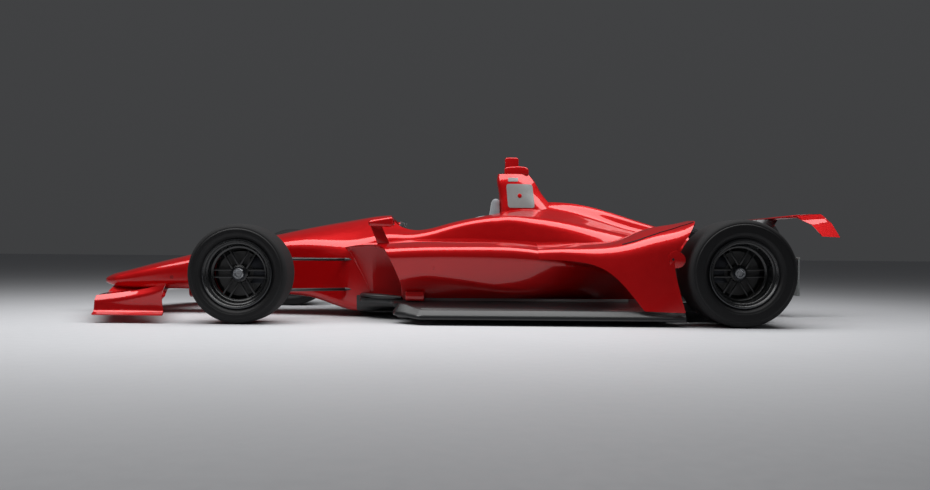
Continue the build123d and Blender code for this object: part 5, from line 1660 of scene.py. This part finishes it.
# The fillet's pale grey film finish is a painted highlight along the floor's step.
fitted(swept("sidepod_foot_bead_right", bead_path, bead), FILM, "dark_composite")
lip_path = placed([(985, 640), (900, 560), (760, 470), (700, 380), (690, 340)])
fitted(swept("floor_front_lip_right", lip_path, rolled), EDGE_STRIP, "dark_composite")
clip = rounded(block("floor_clip_right", (behind(1008), 660, 134), (behind(1130), 700, 196)), 10, 3, 30)
fitted(smooth(clip, 40), RED, "red_paint")
print("floor trim done")

# %% [markdown]
# ## Running gear
# Uprights, arms, rods and shafts are machined or moulded bars that are right as they are in the CAD model,
# apart from their sharp edges and their finish. The upright and its caliper are black anodised alloy, and
# the backplate that closes the wheel is carbon.

# %% Uprights, arms and shafts
RUNNING_GEAR = [
    ("front_upper_wishbones", CARBON), ("front_lower_wishbones", CARBON), ("front_pushrods", CARBON),
    ("rear_upper_wishbones", CARBON), ("rear_lower_wishbones", CARBON), ("rear_pushrods", CARBON),
    ("track_rods", CARBON), ("driveshaft_right", STEEL_SHAFT), ("driveshaft_left", STEEL_SHAFT),
    ("front_upright_right", BLACK_ANODISE), ("front_upright_left", BLACK_ANODISE),
    ("rear_upright_right", BLACK_ANODISE), ("rear_upright_left", BLACK_ANODISE),
]
# The backplate lies so far inside the wheel's centre plane, and reaches from this radius outwards
BACKPLATE_IN, BACKPLATE_R = 42, 60
for node_name, material in RUNNING_GEAR:
    piece = refined(node_name, node_name + "_part", material, 1.2)
    if "upright" in node_name:
        hub = wheels[node_name.split("_")[0]][0]
        plate_y = hub[1] - BACKPLATE_IN
        repaint(piece, CARBON, lambda p, n: from_hub(p, hub) > BACKPLATE_R and abs(abs(p.y) - plate_y) < 3.5)
print("running gear:", len(RUNNING_GEAR), "pieces")

# %% Arm shoes
# Each front arm ends on the tub in a small pointed shoe
SHOE_X, SHOE_LENGTH, SHOE_R = -722, 84, 11
for name, z in (("upper_arm_shoe_right", 391), ("lower_arm_shoe_right", 189)):
    start()
    place, _ = on_skin(tub, SHOE_X - 20, z)
    where = Vector((SHOE_X, place.y - 2, z)) * MM
    size = {"vertices": 20, "radius1": SHOE_R * MM, "radius2": 0.001, "depth": SHOE_LENGTH * MM}
    bpy.ops.mesh.primitive_cone_add(location=where, rotation=(0, math.pi / 2, 0), **size)
    shoe = modify(settle(named(name)), "BEVEL", width=0.002, segments=2)
    fitted(smooth(shoe, 50), CARBON, "dark_composite")
    print(name, "at y", round(place.y))

# %% [markdown]
# ## Tail
# A flat grey plate closes the crash structure, and a thin pale strip stiffens the rear wing's trailing
# edge. Both are plain sheet with rounded edges.

# %% Tail plate and wing strip
TAIL_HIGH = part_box("crash_structure")[1] / MM
TAIL_PLATE_HALF, TAIL_PLATE_LOW, TAIL_PLATE_T = 62, 150, 9
tail_low = (TAIL_HIGH.x, -TAIL_PLATE_HALF, TAIL_PLATE_LOW)
tail_high = (TAIL_HIGH.x + TAIL_PLATE_T, TAIL_PLATE_HALF, TAIL_HIGH.z + 8)
tail_plate = modify(block("tail_plate", tail_low, tail_high), "BEVEL", width=0.003, segments=3)
dress(smooth(tail_plate, 40), FILM, "chassis", "dark_composite")
WING_LOW, WING_HIGH = (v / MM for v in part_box("rear_wing"))
strip_low = (WING_HIGH.x - 52, WING_LOW.y, WING_HIGH.z - 10)
strip_high = (WING_HIGH.x - 2, WING_HIGH.y, WING_HIGH.z - 6)
wing_strip = modify(block("rear_wing_strip", strip_low, strip_high), "BEVEL", width=0.0015, segments=2)
dress(wing_strip, PALE_PAINT, "chassis", "red_paint")
print("tail plate at x", round(TAIL_HIGH.x), "wing strip", round(WING_HIGH.y - WING_LOW.y), "mm wide")

# %% [markdown]
# ## Studio
# A pale floor, a dim grey room and one wide soft box overhead show the paint's form without hiding
# anything: the box draws one long highlight along every shoulder. The camera stands low beside the car,
# square to it, and leans by half a degree.

# %% Floor and room
start()
bpy.ops.mesh.primitive_plane_add(size=60)
studio_floor = named("studio_floor")
studio_floor.data.materials.append(STUDIO_PAINT)

world = bpy.data.worlds.new("studio")
bpy.context.scene.world = world
world.use_nodes = True
WALL_LEVEL, CEILING_LEVEL = 0.06, 0.08
air = world.node_tree
height = node(air, "SeparateXYZ.Z", {"Vector": node(air, "TexCoord.Generated")})
level = {"Value": height, "From Min": 0.0, "From Max": 0.9, "To Min": WALL_LEVEL, "To Max": CEILING_LEVEL}
air.nodes["Background"].inputs["Color"].default_value = linear("#E8EAEE")
air.links.new(node(air, "MapRange.Result", level), air.nodes["Background"].inputs["Strength"])
print("room brightness from", WALL_LEVEL, "to", CEILING_LEVEL)

# %% Soft box and camera
BOX_PLACE, BOX_TARGET = Vector((-0.5, -1.05, 3.4)), Vector((-0.6, -0.3, 0.3))
start()
bpy.ops.object.light_add(type="AREA", location=BOX_PLACE)
soft_box = bpy.context.object
soft_box.name = "overhead_strip"
soft_box.data.shape = "RECTANGLE"
soft_box.data.size, soft_box.data.size_y = 7.8, 2.5
soft_box.data.energy = 300
soft_box.rotation_euler = (BOX_TARGET - BOX_PLACE).to_track_quat("-Z", "Y").to_euler()

CAMERA_PLACE, CAMERA_LEAN = (0.05, -6.165, 0.488), 0.0085
SENSOR, FOCAL_PX, FRAME_PX = 36.0, 858.0, 930.0
start()
bpy.ops.object.camera_add(location=CAMERA_PLACE, rotation=(math.pi / 2, -CAMERA_LEAN, 0))
camera = bpy.context.object
camera.data.sensor_width = SENSOR
camera.data.lens = SENSOR * FOCAL_PX / FRAME_PX
camera.data.shift_y = 1 / FRAME_PX
camera.data.clip_end = 200
bpy.context.scene.camera = camera
bpy.context.scene.view_settings.view_transform = "Standard"
print("camera lens", round(camera.data.lens, 1), "mm")
